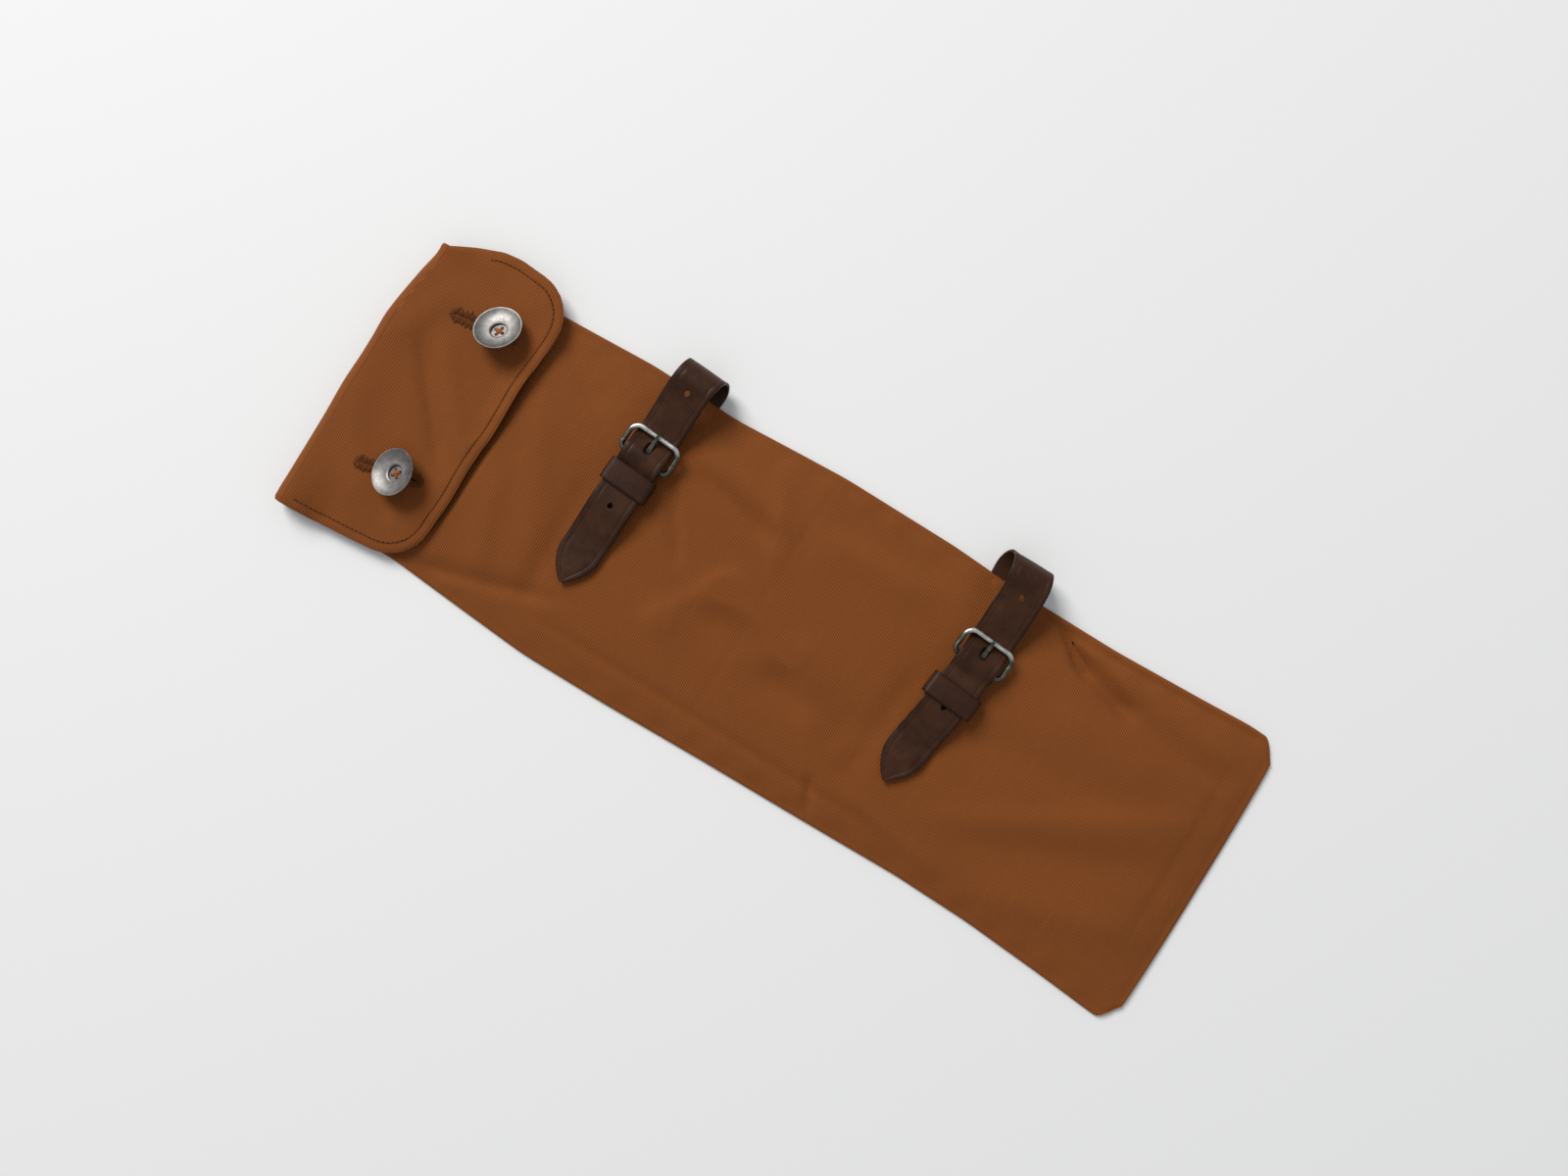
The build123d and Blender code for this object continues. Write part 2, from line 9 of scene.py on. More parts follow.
import bmesh
import bpy
import numpy as np
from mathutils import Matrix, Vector


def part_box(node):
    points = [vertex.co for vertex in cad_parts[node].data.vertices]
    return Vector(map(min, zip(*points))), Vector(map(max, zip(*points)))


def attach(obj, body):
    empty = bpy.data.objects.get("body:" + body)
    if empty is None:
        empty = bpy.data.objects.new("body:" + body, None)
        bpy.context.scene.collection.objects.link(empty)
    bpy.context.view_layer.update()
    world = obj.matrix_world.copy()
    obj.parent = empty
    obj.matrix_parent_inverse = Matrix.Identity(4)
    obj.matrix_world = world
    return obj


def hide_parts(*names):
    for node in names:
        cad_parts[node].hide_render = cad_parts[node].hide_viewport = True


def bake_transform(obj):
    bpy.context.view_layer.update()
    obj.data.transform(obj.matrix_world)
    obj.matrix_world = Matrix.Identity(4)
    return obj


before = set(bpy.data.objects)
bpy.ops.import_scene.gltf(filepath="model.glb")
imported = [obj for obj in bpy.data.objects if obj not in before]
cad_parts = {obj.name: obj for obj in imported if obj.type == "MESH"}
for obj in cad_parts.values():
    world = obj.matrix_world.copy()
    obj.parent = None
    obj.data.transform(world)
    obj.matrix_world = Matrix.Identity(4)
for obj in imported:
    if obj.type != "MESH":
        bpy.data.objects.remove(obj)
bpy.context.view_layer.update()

MM = 0.001
RNG = np.random.default_rng(7)


def box_mm(node):
    """Lowest and highest corner of a CAD node, in millimetres."""
    low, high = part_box(node)
    return np.array(low) / MM, np.array(high) / MM


CLOTH = 0.7  # thickness of the canvas
FRONT_TOP = box_mm("front_panel")[1][2]
END_X = box_mm("front_panel")[1][0]
MOUTH_X = box_mm("front_panel")[0][0]
FOLD_X = box_mm("flap_fold_strip")[1][0]
STRAP_WIDTH, STRAP_THICK, STRAP_HOLE = 18.0, 1.6, 1.2
STRAPS = (1, 2)
# a strap's line on the back: x, slope and y of a point on it, and where it starts
BACK_LINE = {1: (-82.6, 0.0612, 28.5, 20.0), 2: (76.5, 0.0, 28.5, 20.0)}


# ---------------------------------------------------------------- small helpers
def smooth(t):
    """A smooth step from 0 to 1."""
    t = np.clip(t, 0, 1)
    return t * t * (3 - 2 * t)


def hump(value, centre, width, power=2):
    """A soft bump of height 1 round a centre."""
    return np.exp(-(((value - centre) / width) ** power))


def soften(values, width):
    """Rounds the corners of a run of values."""
    window = np.hanning(width)
    return np.convolve(np.pad(values, width // 2, mode="edge"), window / window.sum(), mode="valid")


def run_lengths(points):
    """How far along a polyline each of its points lies."""
    return np.concatenate([[0], np.cumsum(np.linalg.norm(np.diff(points, axis=0), axis=1))])


def resample(points, at):
    """The points of a polyline at some lengths along it."""
    length = run_lengths(points)
    return np.stack([np.interp(at, length, points[:, k]) for k in range(points.shape[1])], axis=-1)


def shade(colour, share):
    """A colour made lighter or darker."""
    return tuple(c * share for c in colour)


def new_piece(name, verts, faces, material, uv=None, wear=None):
    """A mesh object from points in millimetres, with one material.
    uv is where each point lies on the flat cloth or leather, and wear how burnished it is."""
    mesh = bpy.data.meshes.new(name)
    mesh.from_pydata([tuple(v) for v in np.asarray(verts, float) * MM], [], [tuple(f) for f in faces])
    mesh.polygons.foreach_set("use_smooth", [True] * len(mesh.polygons))
    mesh.materials.append(material)
    if uv is not None:
        corner = np.empty(len(mesh.loops), int)
        mesh.loops.foreach_get("vertex_index", corner)
        flat = (np.asarray(uv, float) * MM)[corner].ravel()
        mesh.uv_layers.new(name="flat").data.foreach_set("uv", flat.astype(np.float32))
    if wear is not None:
        mesh.attributes.new("wear", "FLOAT", "POINT").data.foreach_set("value", np.asarray(wear, np.float32))
    piece = bpy.data.objects.new(name, mesh)
    bpy.context.scene.collection.objects.link(piece)
    return piece


def grid_faces(rows, columns, start=0, flip=False, wrap=False):
    """Quads between neighbours of a grid of points stored row by row."""
    faces = []
    for i in range(rows - 1):
        for j in range(columns if wrap else columns - 1):
            k = (j + 1) % columns
            quad = (start + i * columns + j, start + i * columns + k,
                    start + (i + 1) * columns + k, start + (i + 1) * columns + j)
            faces.append(quad[::-1] if flip else quad)
    return faces


def plain_metal(node, material):
    """Gives a packed metal part its material."""
    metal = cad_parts[node]
    metal.data.materials.clear()
    metal.data.materials.append(material)


def tidy(piece, weld=0.004):
    """Welds points that coincide and turns every face outwards."""
    work = bmesh.new()
    work.from_mesh(piece.data)
    bmesh.ops.remove_doubles(work, verts=work.verts, dist=weld * MM)
    bmesh.ops.recalc_face_normals(work, faces=work.faces)
    work.to_mesh(piece.data)
    work.free()
    piece.data.set_sharp_from_angle(angle=math.radians(52))
    return piece


def apply_modifiers(piece):
    """Leaves the piece as the plain mesh that its modifiers make."""
    graph = bpy.context.evaluated_depsgraph_get()
    made = bpy.data.meshes.new_from_object(piece.evaluated_get(graph))
    old = piece.data
    piece.modifiers.clear()
    piece.data = made
    made.name = piece.name
    bpy.data.meshes.remove(old)
    return piece


def cut(piece, cutters):
    """Cuts closed shapes out of a closed piece."""
    for cutter in cutters:
        step = piece.modifiers.new("cut", "BOOLEAN")
        step.operation = "DIFFERENCE"
        step.solver = "EXACT"
        step.object = cutter
    apply_modifiers(piece)
    for cutter in cutters:
        bpy.data.objects.remove(cutter, do_unlink=True)
    return piece


def prism(outline, low, high, name="cutter"):
    """A closed upright solid on a flat outline, used to cut with."""
    count = len(outline)
    verts = [(x, y, low) for x, y in outline] + [(x, y, high) for x, y in outline]
    faces = [tuple(range(count))[::-1], tuple(range(count, 2 * count))]
    faces += [(i, (i + 1) % count, count + (i + 1) % count, count + i) for i in range(count)]
    mesh = bpy.data.meshes.new(name)
    mesh.from_pydata([tuple(np.array(v) * MM) for v in verts], [], faces)
    cutter = bpy.data.objects.new(name, mesh)
    bpy.context.scene.collection.objects.link(cutter)
    return tidy(cutter)


def slot_outline(centre, along, length, width, count=10):
    """A round-ended slot in plan, given the middle, its direction and its full length and width."""
    along = np.array(along[:2]) / np.linalg.norm(along[:2])
    across = np.array([-along[1], along[0]])
    radius = width / 2
    reach = length / 2 - radius
    points = []
    for side, turn in ((1, -math.pi / 2), (-1, math.pi / 2)):
        for k in range(count + 1):
            angle = turn + math.pi * k / count
            points.append(np.array(centre[:2]) + along * (side * reach + radius * math.cos(angle))
                          + across * radius * math.sin(angle))
    return points


# ---------------------------------------------------------------- materials
class Shader:
    """Builds a node material with short calls."""

    def __init__(self, name, roughness=0.6, metallic=0.0, flat=False, **sockets):
        self.material = bpy.data.materials.new(name)
        self.material.use_nodes = True
        self.tree = self.material.node_tree
        self.bsdf = self.tree.nodes["Principled BSDF"]
        self.bsdf.inputs["Roughness"].default_value = roughness
        self.bsdf.inputs["Metallic"].default_value = metallic
        for socket, value in sockets.items():
            self.bsdf.inputs[socket.replace("_", " ")].default_value = value
        if flat:
            self.place = self.node("ShaderNodeUVMap", uv_map="flat").outputs["UV"]
        else:
            self.place = self.node("ShaderNodeTexCoord").outputs["Object"]

    def node(self, kind, links=(), **settings):
        made = self.tree.nodes.new(kind)
        for key, value in settings.items():
            setattr(made, key, value)
        for socket, value in dict(links).items():
            if isinstance(value, bpy.types.NodeSocket):
                self.tree.links.new(value, made.inputs[socket])
            else:
                made.inputs[socket].default_value = value
        return made

    def link(self, source, socket):
        self.tree.links.new(source, self.bsdf.inputs[socket])

    def noise(self, scale, detail=4.0, stretch=(1, 1, 1), rough=0.55, distortion=0.0):
        """Noise with a scale in features per metre, stretched along the axes."""
        mapped = self.node("ShaderNodeMapping", {"Vector": self.place, "Scale": stretch})
        return self.node("ShaderNodeTexNoise", {"Vector": mapped.outputs["Vector"], "Scale": scale,
                                                "Detail": detail, "Roughness": rough,
                                                "Distortion": distortion}).outputs["Fac"]

    def ramp(self, value, stops):
        """A colour ramp through (position, colour) stops."""
        ramp = self.node("ShaderNodeValToRGB", {"Fac": value})
        band = ramp.color_ramp
        while len(band.elements) < len(stops):
            band.elements.new(0.5)
        for element, (position, colour) in zip(band.elements, stops):
            element.position = position
            element.color = (*colour, 1) if len(colour) == 3 else colour
        return ramp.outputs["Color"]

    def grey(self, value, low, high, dark=0.0, light=1.0):
        """Maps a value between low and high onto a range."""
        return self.node("ShaderNodeMapRange", {"Value": value, "From Min": low, "From Max": high,
                                                "To Min": dark, "To Max": light}).outputs["Result"]

    def mix(self, factor, a, b, blend="MIX"):
        made = self.node("ShaderNodeMix", data_type="RGBA", blend_type=blend)
        for socket, value in ((made.inputs[0], factor), (made.inputs[6], a), (made.inputs[7], b)):
            if isinstance(value, bpy.types.NodeSocket):
                self.tree.links.new(value, socket)
            else:
                socket.default_value = value if not isinstance(value, tuple) else (*value, 1)
        return made.outputs[2]

    def math(self, operation, a, b=None):
        made = self.node("ShaderNodeMath", operation=operation)
        for socket, value in zip(made.inputs, (a, b)):
            if isinstance(value, bpy.types.NodeSocket):
                self.tree.links.new(value, socket)
            elif value is not None:
                socket.default_value = value
        return made.outputs[0]

    def bump(self, height, strength, distance, under=None):
        links = {"Height": height, "Strength": strength, "Distance": distance}
        if under is not None:
            links["Normal"] = under
        return self.node("ShaderNodeBump", links).outputs["Normal"]


def canvas_material(name, base=(0.226, 0.0635, 0.0105), rib_pitch=0.00092):
    """Fine canvas: close ribs across the case's length, finer threads the other way, and faint slubs."""
    shader = Shader(name, roughness=0.82, flat=True, Sheen_Weight=0.1, Sheen_Roughness=0.45,
                    Specular_IOR_Level=0.2)
    shader.bsdf.inputs["Sheen Tint"].default_value = (0.85, 0.5, 0.28, 1)
    split = shader.node("ShaderNodeSeparateXYZ", {"Vector": shader.place})
    wander = shader.noise(170, 2, (1, 0.1, 1))
    drift = shader.math("MULTIPLY", shader.math("SUBTRACT", wander, 0.5), 2.2)
    ribs = shader.math("SINE", shader.math("ADD", drift, shader.math(
        "MULTIPLY", split.outputs["X"], 2 * math.pi / rib_pitch)))
    threads = shader.math("SINE", shader.math("ADD", shader.math("MULTIPLY", ribs, 0.9), shader.math(
        "MULTIPLY", split.outputs["Y"], 2 * math.pi / (rib_pitch * 0.78))))
    weave = shader.math("ADD", shader.math("MULTIPLY", ribs, 0.62), shader.math("MULTIPLY", threads, 0.38))
    fibre = shader.noise(1700, 3, (1, 0.45, 1))
    slubs = shader.noise(520, 3, (1, 0.1, 1))
    broad = shader.noise(22, 4)
    mottle = shader.noise(260, 3)
    colour = shader.mix(shader.grey(weave, -1, 1, 0.0, 1.0), shade(base, 0.6),
                        shade(base, 1.3))
    colour = shader.mix(shader.grey(fibre, 0.35, 0.75, 0.0, 0.3), colour, shade(base, 0.66))
    colour = shader.mix(shader.grey(slubs, 0.55, 0.75, 0.0, 0.2), colour, shade(base, 1.3))
    colour = shader.mix(shader.grey(broad, 0.35, 0.7, 0.0, 0.3), colour, shade(base, 0.82))
    colour = shader.mix(shader.grey(mottle, 0.5, 0.8, 0.0, 0.12), colour, shade(base, 1.25))
    shader.link(colour, "Base Color")
    shader.link(shader.grey(weave, -1, 1, 0.9, 0.76), "Roughness")
    grain = shader.bump(weave, 0.75, 0.00016)
    shader.link(shader.bump(fibre, 0.3, 0.00012, grain), "Normal")
    return shader.material


def thread_material(name, base):
    """Twisted sewing thread, matt."""
    shader = Shader(name, roughness=0.75, Specular_IOR_Level=0.15)
    twist = shader.noise(5200, 2)
    shader.link(shader.mix(shader.grey(twist, 0.3, 0.7), shade(base, 0.6),
                           shade(base, 1.35)), "Base Color")
    shader.link(shader.grey(twist, 0.3, 0.7, 0.5, 0.75), "Roughness")
    shader.link(shader.bump(twist, 0.5, 0.0001), "Normal")
    return shader.material


def leather_material(name, base=(0.035, 0.0130, 0.0058), grain_scale=1500):
    """Smooth strap leather: fine grain, cloudy dye and scuffs. Edge wear comes from the mesh."""
    shader = Shader(name, roughness=0.42, flat=True, Specular_IOR_Level=0.17)
    pores = shader.node("ShaderNodeTexVoronoi", {"Vector": shader.place, "Scale": grain_scale,
                                                 "Randomness": 1.0}, feature="F1").outputs["Distance"]
    cloud = shader.noise(75, 5, (1, 1, 1), 0.6)
    grain = shader.noise(2600, 4)
    scuff = shader.noise(420, 4, (3.2, 0.5, 1), 0.7)
    edge = shader.node("ShaderNodeAttribute", attribute_name="wear").outputs["Fac"]
    light = (base[0] * 1.75, base[1] * 1.7, base[2] * 1.55)
    colour = shader.mix(shader.grey(cloud, 0.32, 0.7), shade(base, 0.72), light)
    colour = shader.mix(shader.grey(scuff, 0.56, 0.78, 0.0, 0.35), colour,
                        (base[0] * 2.7, base[1] * 2.6, base[2] * 2.3))
    colour = shader.mix(shader.grey(pores, 0.0, 0.5, 0.35, 0.0), colour, shade(base, 0.4))
    colour = shader.mix(edge, colour, (0.019, 0.0072, 0.0040))
    rubbed_and_highlit = shader.math("MULTIPLY", edge, shader.grey(scuff, 0.58, 0.7, 0.0, 0.5))
    colour = shader.mix(rubbed_and_highlit, colour, (0.13, 0.052, 0.024))
    shader.link(colour, "Base Color")
    shader.link(shader.grey(cloud, 0.3, 0.75, 0.34, 0.52), "Roughness")
    fine = shader.bump(grain, 0.25, 0.00008)
    pitted = shader.bump(pores, 0.22, 0.00012, fine)
    shader.link(shader.bump(cloud, 0.18, 0.0006, pitted), "Normal")
    return shader.material


def button_material(name):
    """Dull dished sheet metal with fine scuffs and a few dark marks."""
    shader = Shader(name, roughness=0.36, metallic=1.0)
    fine = shader.noise(2200, 4)
    patches = shader.noise(300, 4)
    colour = shader.ramp(patches, [(0.3, (0.15, 0.143, 0.135)), (0.55, (0.215, 0.205, 0.195)),
                                   (0.8, (0.29, 0.28, 0.27))])
    shader.link(colour, "Base Color")
    shader.link(shader.grey(fine, 0.3, 0.7, 0.42, 0.56), "Roughness")
    shader.link(shader.bump(fine, 0.12, 0.0001), "Normal")
    return shader.material


def buckle_material(name, rubbed_and_highlit=True):
    """Old nickel-plated wire: greenish grey tarnish, and a painted highlight that makes the top of the front
    bar bright when asked for.
    """
    shader = Shader(name, roughness=0.34, metallic=1.0)
    tarnish = shader.noise(420, 5, rough=0.65)
    fine = shader.noise(3000, 3)
    split = shader.node("ShaderNodeSeparateXYZ", {"Vector": shader.place}).outputs
    # painted highlight: the front bar's top, above 11.8 mm and past y 37 mm, takes the bright colour
    wear_and_highlight = shader.math("MULTIPLY", shader.grey(split["Z"], 0.0118, 0.0133),
                       shader.grey(split["Y"], 0.037, 0.039, 0.0, 1.0 if rubbed_and_highlit else 0.0))
    dull = shader.ramp(tarnish, [(0.3, (0.06, 0.064, 0.05)), (0.55, (0.13, 0.132, 0.107)),
                                 (0.8, (0.24, 0.235, 0.2))])
    bright = shader.ramp(tarnish, [(0.3, (0.46, 0.45, 0.42)), (0.7, (0.74, 0.73, 0.71))])
    shader.link(shader.mix(wear_and_highlight, dull, bright), "Base Color")
    shader.link(shader.grey(tarnish, 0.3, 0.7, 0.25, 0.5), "Roughness")
    shader.link(shader.bump(fine, 0.15, 0.0001), "Normal")
    return shader.material


CANVAS = canvas_material("canvas_orange_brown")
FACING = canvas_material("canvas_facing", base=(0.205, 0.058, 0.0102))
CANVAS_THREAD = thread_material("thread_brown", (0.15, 0.045, 0.0115))
WHIP_THREAD = thread_material("thread_buttonhole", (0.125, 0.037, 0.0075))
TOPSTITCH_THREAD = thread_material("thread_topstitch", (0.13, 0.038, 0.0075))
# painted shade: a near-black thread colour that stands for the shade inside the needle holes
NEEDLE_HOLE_SHADE = thread_material("needle_hole_painted_shade", (0.022, 0.0075, 0.002))
LEATHER_THREAD = thread_material("thread_dark", (0.03, 0.014, 0.009))
LEATHER = leather_material("leather_dark_brown")
BUTTON_METAL = button_material("button_metal")
BUCKLE_METAL = buckle_material("buckle_metal")
TONGUE_METAL = buckle_material("buckle_tongue_metal", rubbed_and_highlit=False)


# ---------------------------------------------------------------- pouch
# The long edges from the mouth to the turned corners, as (x, y).
LOOP_SIDE = [(-205, 61.5), (-150, 62.6), (-128, 63.6), (-100, 65), (-60, 63.6), (-30, 65.4), (-8, 66.6),
             (45, 66.2), (80, 64.2), (125, 64.0), (165, 65.6), (190, 66.9), (196, 66.4)]
FAR_SIDE = [(-205, -61.5), (-150, -60.2), (-120, -62.8), (-85, -65.6), (-45, -65.6), (0, -64.6), (50, -64.0),
            (95, -63.2), (130, -64.2), (165, -66.8), (190, -69.0), (198, -69.6)]


CORNER_RUN, CORNER_DEPTH = 7.5, 9.4


def side_line(points, x):
    """A long edge's y at each x, with its corners rounded off."""
    fine = np.linspace(-210, 210, 421)
    return np.interp(x, fine, soften(np.interp(fine, *zip(*points)), 19))


def corner_cut(x):
    """How far the turned corners draw in beside the bottom seam."""
    t = np.clip((x - (END_X - CORNER_RUN)) / CORNER_RUN, 0, 1)
    return CORNER_DEPTH * t ** 1.35


def fold_line(x, y, start, end, width, height, lean=0.0):
    """A soft ridge, or with a negative height a valley, between two points, fading at its ends.
    A lean above 0 makes it steeper on its right-hand side."""
    start, end = np.array(start, float), np.array(end, float)
    run = end - start
    length = np.linalg.norm(run)
    run = run / length
    along = (x - start[0]) * run[0] + (y - start[1]) * run[1]
    across = (x - start[0]) * -run[1] + (y - start[1]) * run[0]
    wide = width * np.where(across > 0, 1 + lean, 1 - lean)
    fade = smooth((along + 0.35 * length) / (0.5 * length))
    fade = fade * smooth((1.35 * length - along) / (0.5 * length))
    return height * fade * hump(across, 0, wide)


# Ridges (+) and valleys (-) of the front, as start, end, width, height and lean.
FRONT_FOLDS = [
    ((-60, 36), (-26, 29), 4.2, -0.75, 0.2), ((-56, 44), (-18, 37), 6.0, 0.55, 0.0),
    ((-66, 24), (-51, 4), 3.2, -0.6, -0.2), ((-45, -24), (-28, 4), 7.5, 0.95, -0.3),
    ((-22, 6), (8, -8), 8.0, 0.9, -0.35), ((10, -8), (34, -26), 8.0, 0.8, 0.3),
    ((-38, -12), (-6, -12), 8.0, -0.8, 0.0), ((4, -22), (48, -20), 8.5, -0.95, 0.1),
    ((-10, 66), (-12, -50), 1.6, -0.07, 0.0), ((0, 50), (44, 51), 7.0, -0.65, 0.2),
    ((2, 40), (40, 42), 9.0, 0.5, 0.0), ((-30, 52), (-14, 20), 5.0, 0.4, 0.2),
    ((97, 63), (116, 50), 2.8, -1.6, 0.25), ((114, 51), (140, 44), 3.8, -1.3, 0.2),
    ((138, 44), (184, 39), 5.0, -0.7, 0.2), ((110, 61), (140, 53), 4.5, 0.9, 0.0),
    ((150, 54), (184, 50), 5.0, 0.4, 0.0), ((120, 30), (160, 24), 9.0, 0.5, 0.0),
    ((104, -30), (180, 14), 9.0, 0.7, -0.35), ((104, -38), (178, -8), 9.5, -0.6, 0.0),
    ((92, 4), (150, 8), 8.0, -0.5, 0.0), ((130, -50), (184, -34), 8.0, 0.6, 0.0),
    ((190, 34), (190, -26), 3.0, -0.2, 0.3), ((-72, -50), (52, -51), 2.4, -0.35, 0.1),
    ((-138, -56), (-92, -42), 3.6, -0.75, 0.2), ((-134, 52), (-112, 40), 5.5, -0.5, 0.0),
    ((-126, 20), (-104, -26), 7.0, 0.5, 0.0), ((-98, 8), (-96, -40), 5.5, -0.5, 0.0),
    ((44, -48), (50, -60), 2.2, -0.5, 0.0), ((60, -44), (100, -52), 4.0, 0.45, 0.0),
    ((58, 10), (56, -34), 6.0, -0.55, 0.0), ((-130, -10), (-118, -50), 6.0, 0.4, 0.0),
]


FOLD_GAIN = 2.2  # how many times deeper the folds are than listed


def strap_line(number, s):
    """A strap's plan position in x at some distance s along Y from the pouch's middle line."""
    if number == 1:
        return np.interp(s, [-34, 10, 28.5, 40, 60, 67, 80],
                         [-85.9, -84.2, -83.2, -82.4, -80.9, -79.6, -76.9])
    return np.interp(s, [-34, 28.5, 40, 61, 67, 80], [68.4, 76.8, 77.6, 77.0, 76.2, 73.2])


def front_height(x, y):
    """Height of the front panel's outer face over the table."""
    loop_y = side_line(LOOP_SIDE, x) - corner_cut(x)
    far_y = side_line(FAR_SIDE, x) + corner_cut(x)
    inside = np.minimum(np.minimum(loop_y - y, y - far_y), END_X - x)
    inside = np.clip(inside, 0, None)
    side = np.minimum(loop_y - y, y - far_y).clip(0)
    rim = 1.0 + 0.9 * np.sqrt(np.clip(1 - (1 - np.clip(inside / 1.6, 0, 1)) ** 2, 0, 1))
    puff = (FRONT_TOP - 2.4) * (1 - hump(side, 0, 17.0, 1.25))
    puff = puff * (1 - hump((END_X - x).clip(0), 0, 21.0, 1.2))
    folds = np.zeros_like(x)
    for start, end, width, height, lean in FRONT_FOLDS:
        folds = folds + FOLD_GAIN * fold_line(x, y, start, end, width, height, lean)
    # short puckers that the side seams draw up
    pucker = 0.22 * np.sin(x / 2.9 + 1.7 * np.sin(x / 23.0)) * hump(side, 4.5, 4.5)
    pucker = pucker + 0.12 * np.sin(y / 3.1 + np.sin(y / 19.0)) * hump(END_X - x, 6, 5.0)
    seam = -0.3 * hump(side, 3.0, 0.8) - 0.3 * hump(END_X - x, 3.4, 0.8)
    # the loop side's seam allowance, turned under, shows as a low band towards the bottom corner
    band = -0.85 * hump(loop_y - y, 3.8, 1.1) * smooth((x - 88) / 16) * smooth((198 - x) / 10)
    height = rim + puff + band + folds * smooth((inside - 1.0) / 7.0) + pucker * smooth(inside / 3.0) + seam
    # the strap's tail, keeper and buckle press the cloth flat under them
    for number in STRAPS:
        middle = strap_line(number, y)
        near = hump(x, middle, 11.0, 4) * smooth((y + 44) / 14) * smooth((52 - y) / 10)
        height = height * (1 - near) + np.minimum(height, FRONT_TOP - 0.15) * near
        pressed = hump(x, middle, 14.0, 4) * smooth((70 - y) / 6) * smooth((y - 34) / 12)
        height = height - 0.6 * pressed * smooth(inside / 6)
    # the flap's buttons hold the mouth down
    limit = FRONT_TOP - 3.0 + 3.9 * smooth((x + 146) / 14)
    return np.minimum(height, limit)


def back_height(x, y):
    """Height of the back panel's outer face: on the table, and over the straps sewn to it."""
    height = np.full_like(x, 0.06)
    for number in STRAPS:
        line = BACK_LINE[number]
        middle = line[0] + (y - line[2]) * line[1]
        beside = np.abs(x - middle) - STRAP_WIDTH / 2
        over = 1 - smooth(beside / 5.5)
        over = over * smooth((y - (line[3] - 7)) / 6)
        height = np.maximum(height, 1.72 * over)
    return height


def spaced(low, high, step, rim=1.8, fine=5):
    """Positions from low to high, closer together within a rim of each end."""
    ramp = rim * (1 - np.cos(np.linspace(0, math.pi / 2, fine, endpoint=False)))
    inner = np.linspace(low + rim, high - rim, max(2, int((high - low - 2 * rim) / step)))
    return np.concatenate([low + ramp, inner, (high - ramp)[::-1]])


def slant(y):
    """How far the flap's fold draws in towards its loop end."""
    return 3.8 * smooth((y - 25) / 35)


def panel_points(step):
    """The pouch's grid in plan: x by column, y by row, following the outline."""
    columns = spaced(MOUTH_X, END_X - 0.02, step)
    share = spaced(-1.0, 1.0, step / 64, rim=1.8 / 64)
    x = np.repeat(columns[:, None], len(share), axis=1)
    loop_y = side_line(LOOP_SIDE, x) - corner_cut(x)
    far_y = side_line(FAR_SIDE, x) + corner_cut(x)
    y = (loop_y + far_y) / 2 + (loop_y - far_y) / 2 * share[None, :]
    # the bottom seam bows out a little in its middle, and the fold slants in at its loop end
    bow = 1.6 * (y / 66.0) ** 2 * smooth((x - (END_X - 30)) / 30)
    return x - bow + slant(y) * (1 - smooth((x - MOUTH_X) / 30)), y


def shell(name, x, y, outer, inner, material, uv=None, x_inner=None):
    """A closed sheet between an outer and an inner face over the same plan points."""
    rows, columns = x.shape
    top = np.stack([x, y, outer], axis=-1).reshape(-1, 3)
    bottom = np.stack([x if x_inner is None else x_inner, y, inner], axis=-1).reshape(-1, 3)
    count = rows * columns
    faces = grid_faces(rows, columns, flip=True) + grid_faces(rows, columns, start=count)
    ring = [(i, 0) for i in range(rows)] + [(rows - 1, j) for j in range(1, columns)]
    ring += [(i, columns - 1) for i in range(rows - 2, -1, -1)] + [(0, j) for j in range(columns - 2, 0, -1)]
    index = [i * columns + j for i, j in ring]
    for a, b in zip(index, index[1:] + index[:1]):
        faces.append((a, b, count + b, count + a))
    flat = np.stack([x, y], axis=-1).reshape(-1, 2) if uv is None else uv
    verts = np.concatenate([top, bottom])
    return tidy(new_piece(name, verts, faces, material, uv=np.concatenate([flat, flat])))


def make_pouch():
    """Front and back panels, closed along three edges and open at the mouth."""
    x, y = panel_points(1.25)
    top = front_height(x, y)
    inner = np.maximum(top - CLOTH, 0.95)
    mouth = smooth((MOUTH_X + 2.0 - x) / 2.0)
    front = shell("pouch_front_cloth", x, y, top - 0.25 * mouth, inner - 0.25 * mouth, CANVAS)
    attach(front, "case")
    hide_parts("front_panel")
    low = back_height(x, y)
    edge = np.minimum(np.minimum(np.abs(y - y[:, :1]), np.abs(y[:, -1:] - y)), (END_X - x).clip(0))
    low = low + 0.55 * (1 - np.sqrt(np.clip(1 - (1 - np.clip(edge / 1.2, 0, 1)) ** 2, 0, 1)))
    high = np.minimum(low + CLOTH, np.where(edge < 1.0, 0.93, 99))
    x_back = np.where(np.arange(x.shape[0])[:, None] == 0, FOLD_X + slant(y), x)
    back = shell("pouch_back_cloth", x_back, y, np.maximum(high, low + 0.15), low, CANVAS)
    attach(back, "case")
    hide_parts("back_panel")
    return front, back


# ---------------------------------------------------------------- flap
FLAP_CORNER = 18.0
SEAM_IN = 4.1  # topstitching's distance from the flap's edge


def flap_far(x):
    """The flap's edge on the plain side."""
    return np.interp(x, [-205, -188, -168, -152, -140], [-63.4, -63.2, -61.6, -60.0, -60.2])


def flap_loop(x):
    """The flap's edge on the loops' side, where it overhangs the pouch."""
    fine = np.linspace(-215, -130, 171)
    raw = np.interp(fine, [-215, -203, -197, -186, -176, -168, -150, -130],
                    [56.5, 58.5, 62, 68, 72.0, 73.0, 71.6, 70.5])
    return np.interp(x, fine, soften(raw, 15))


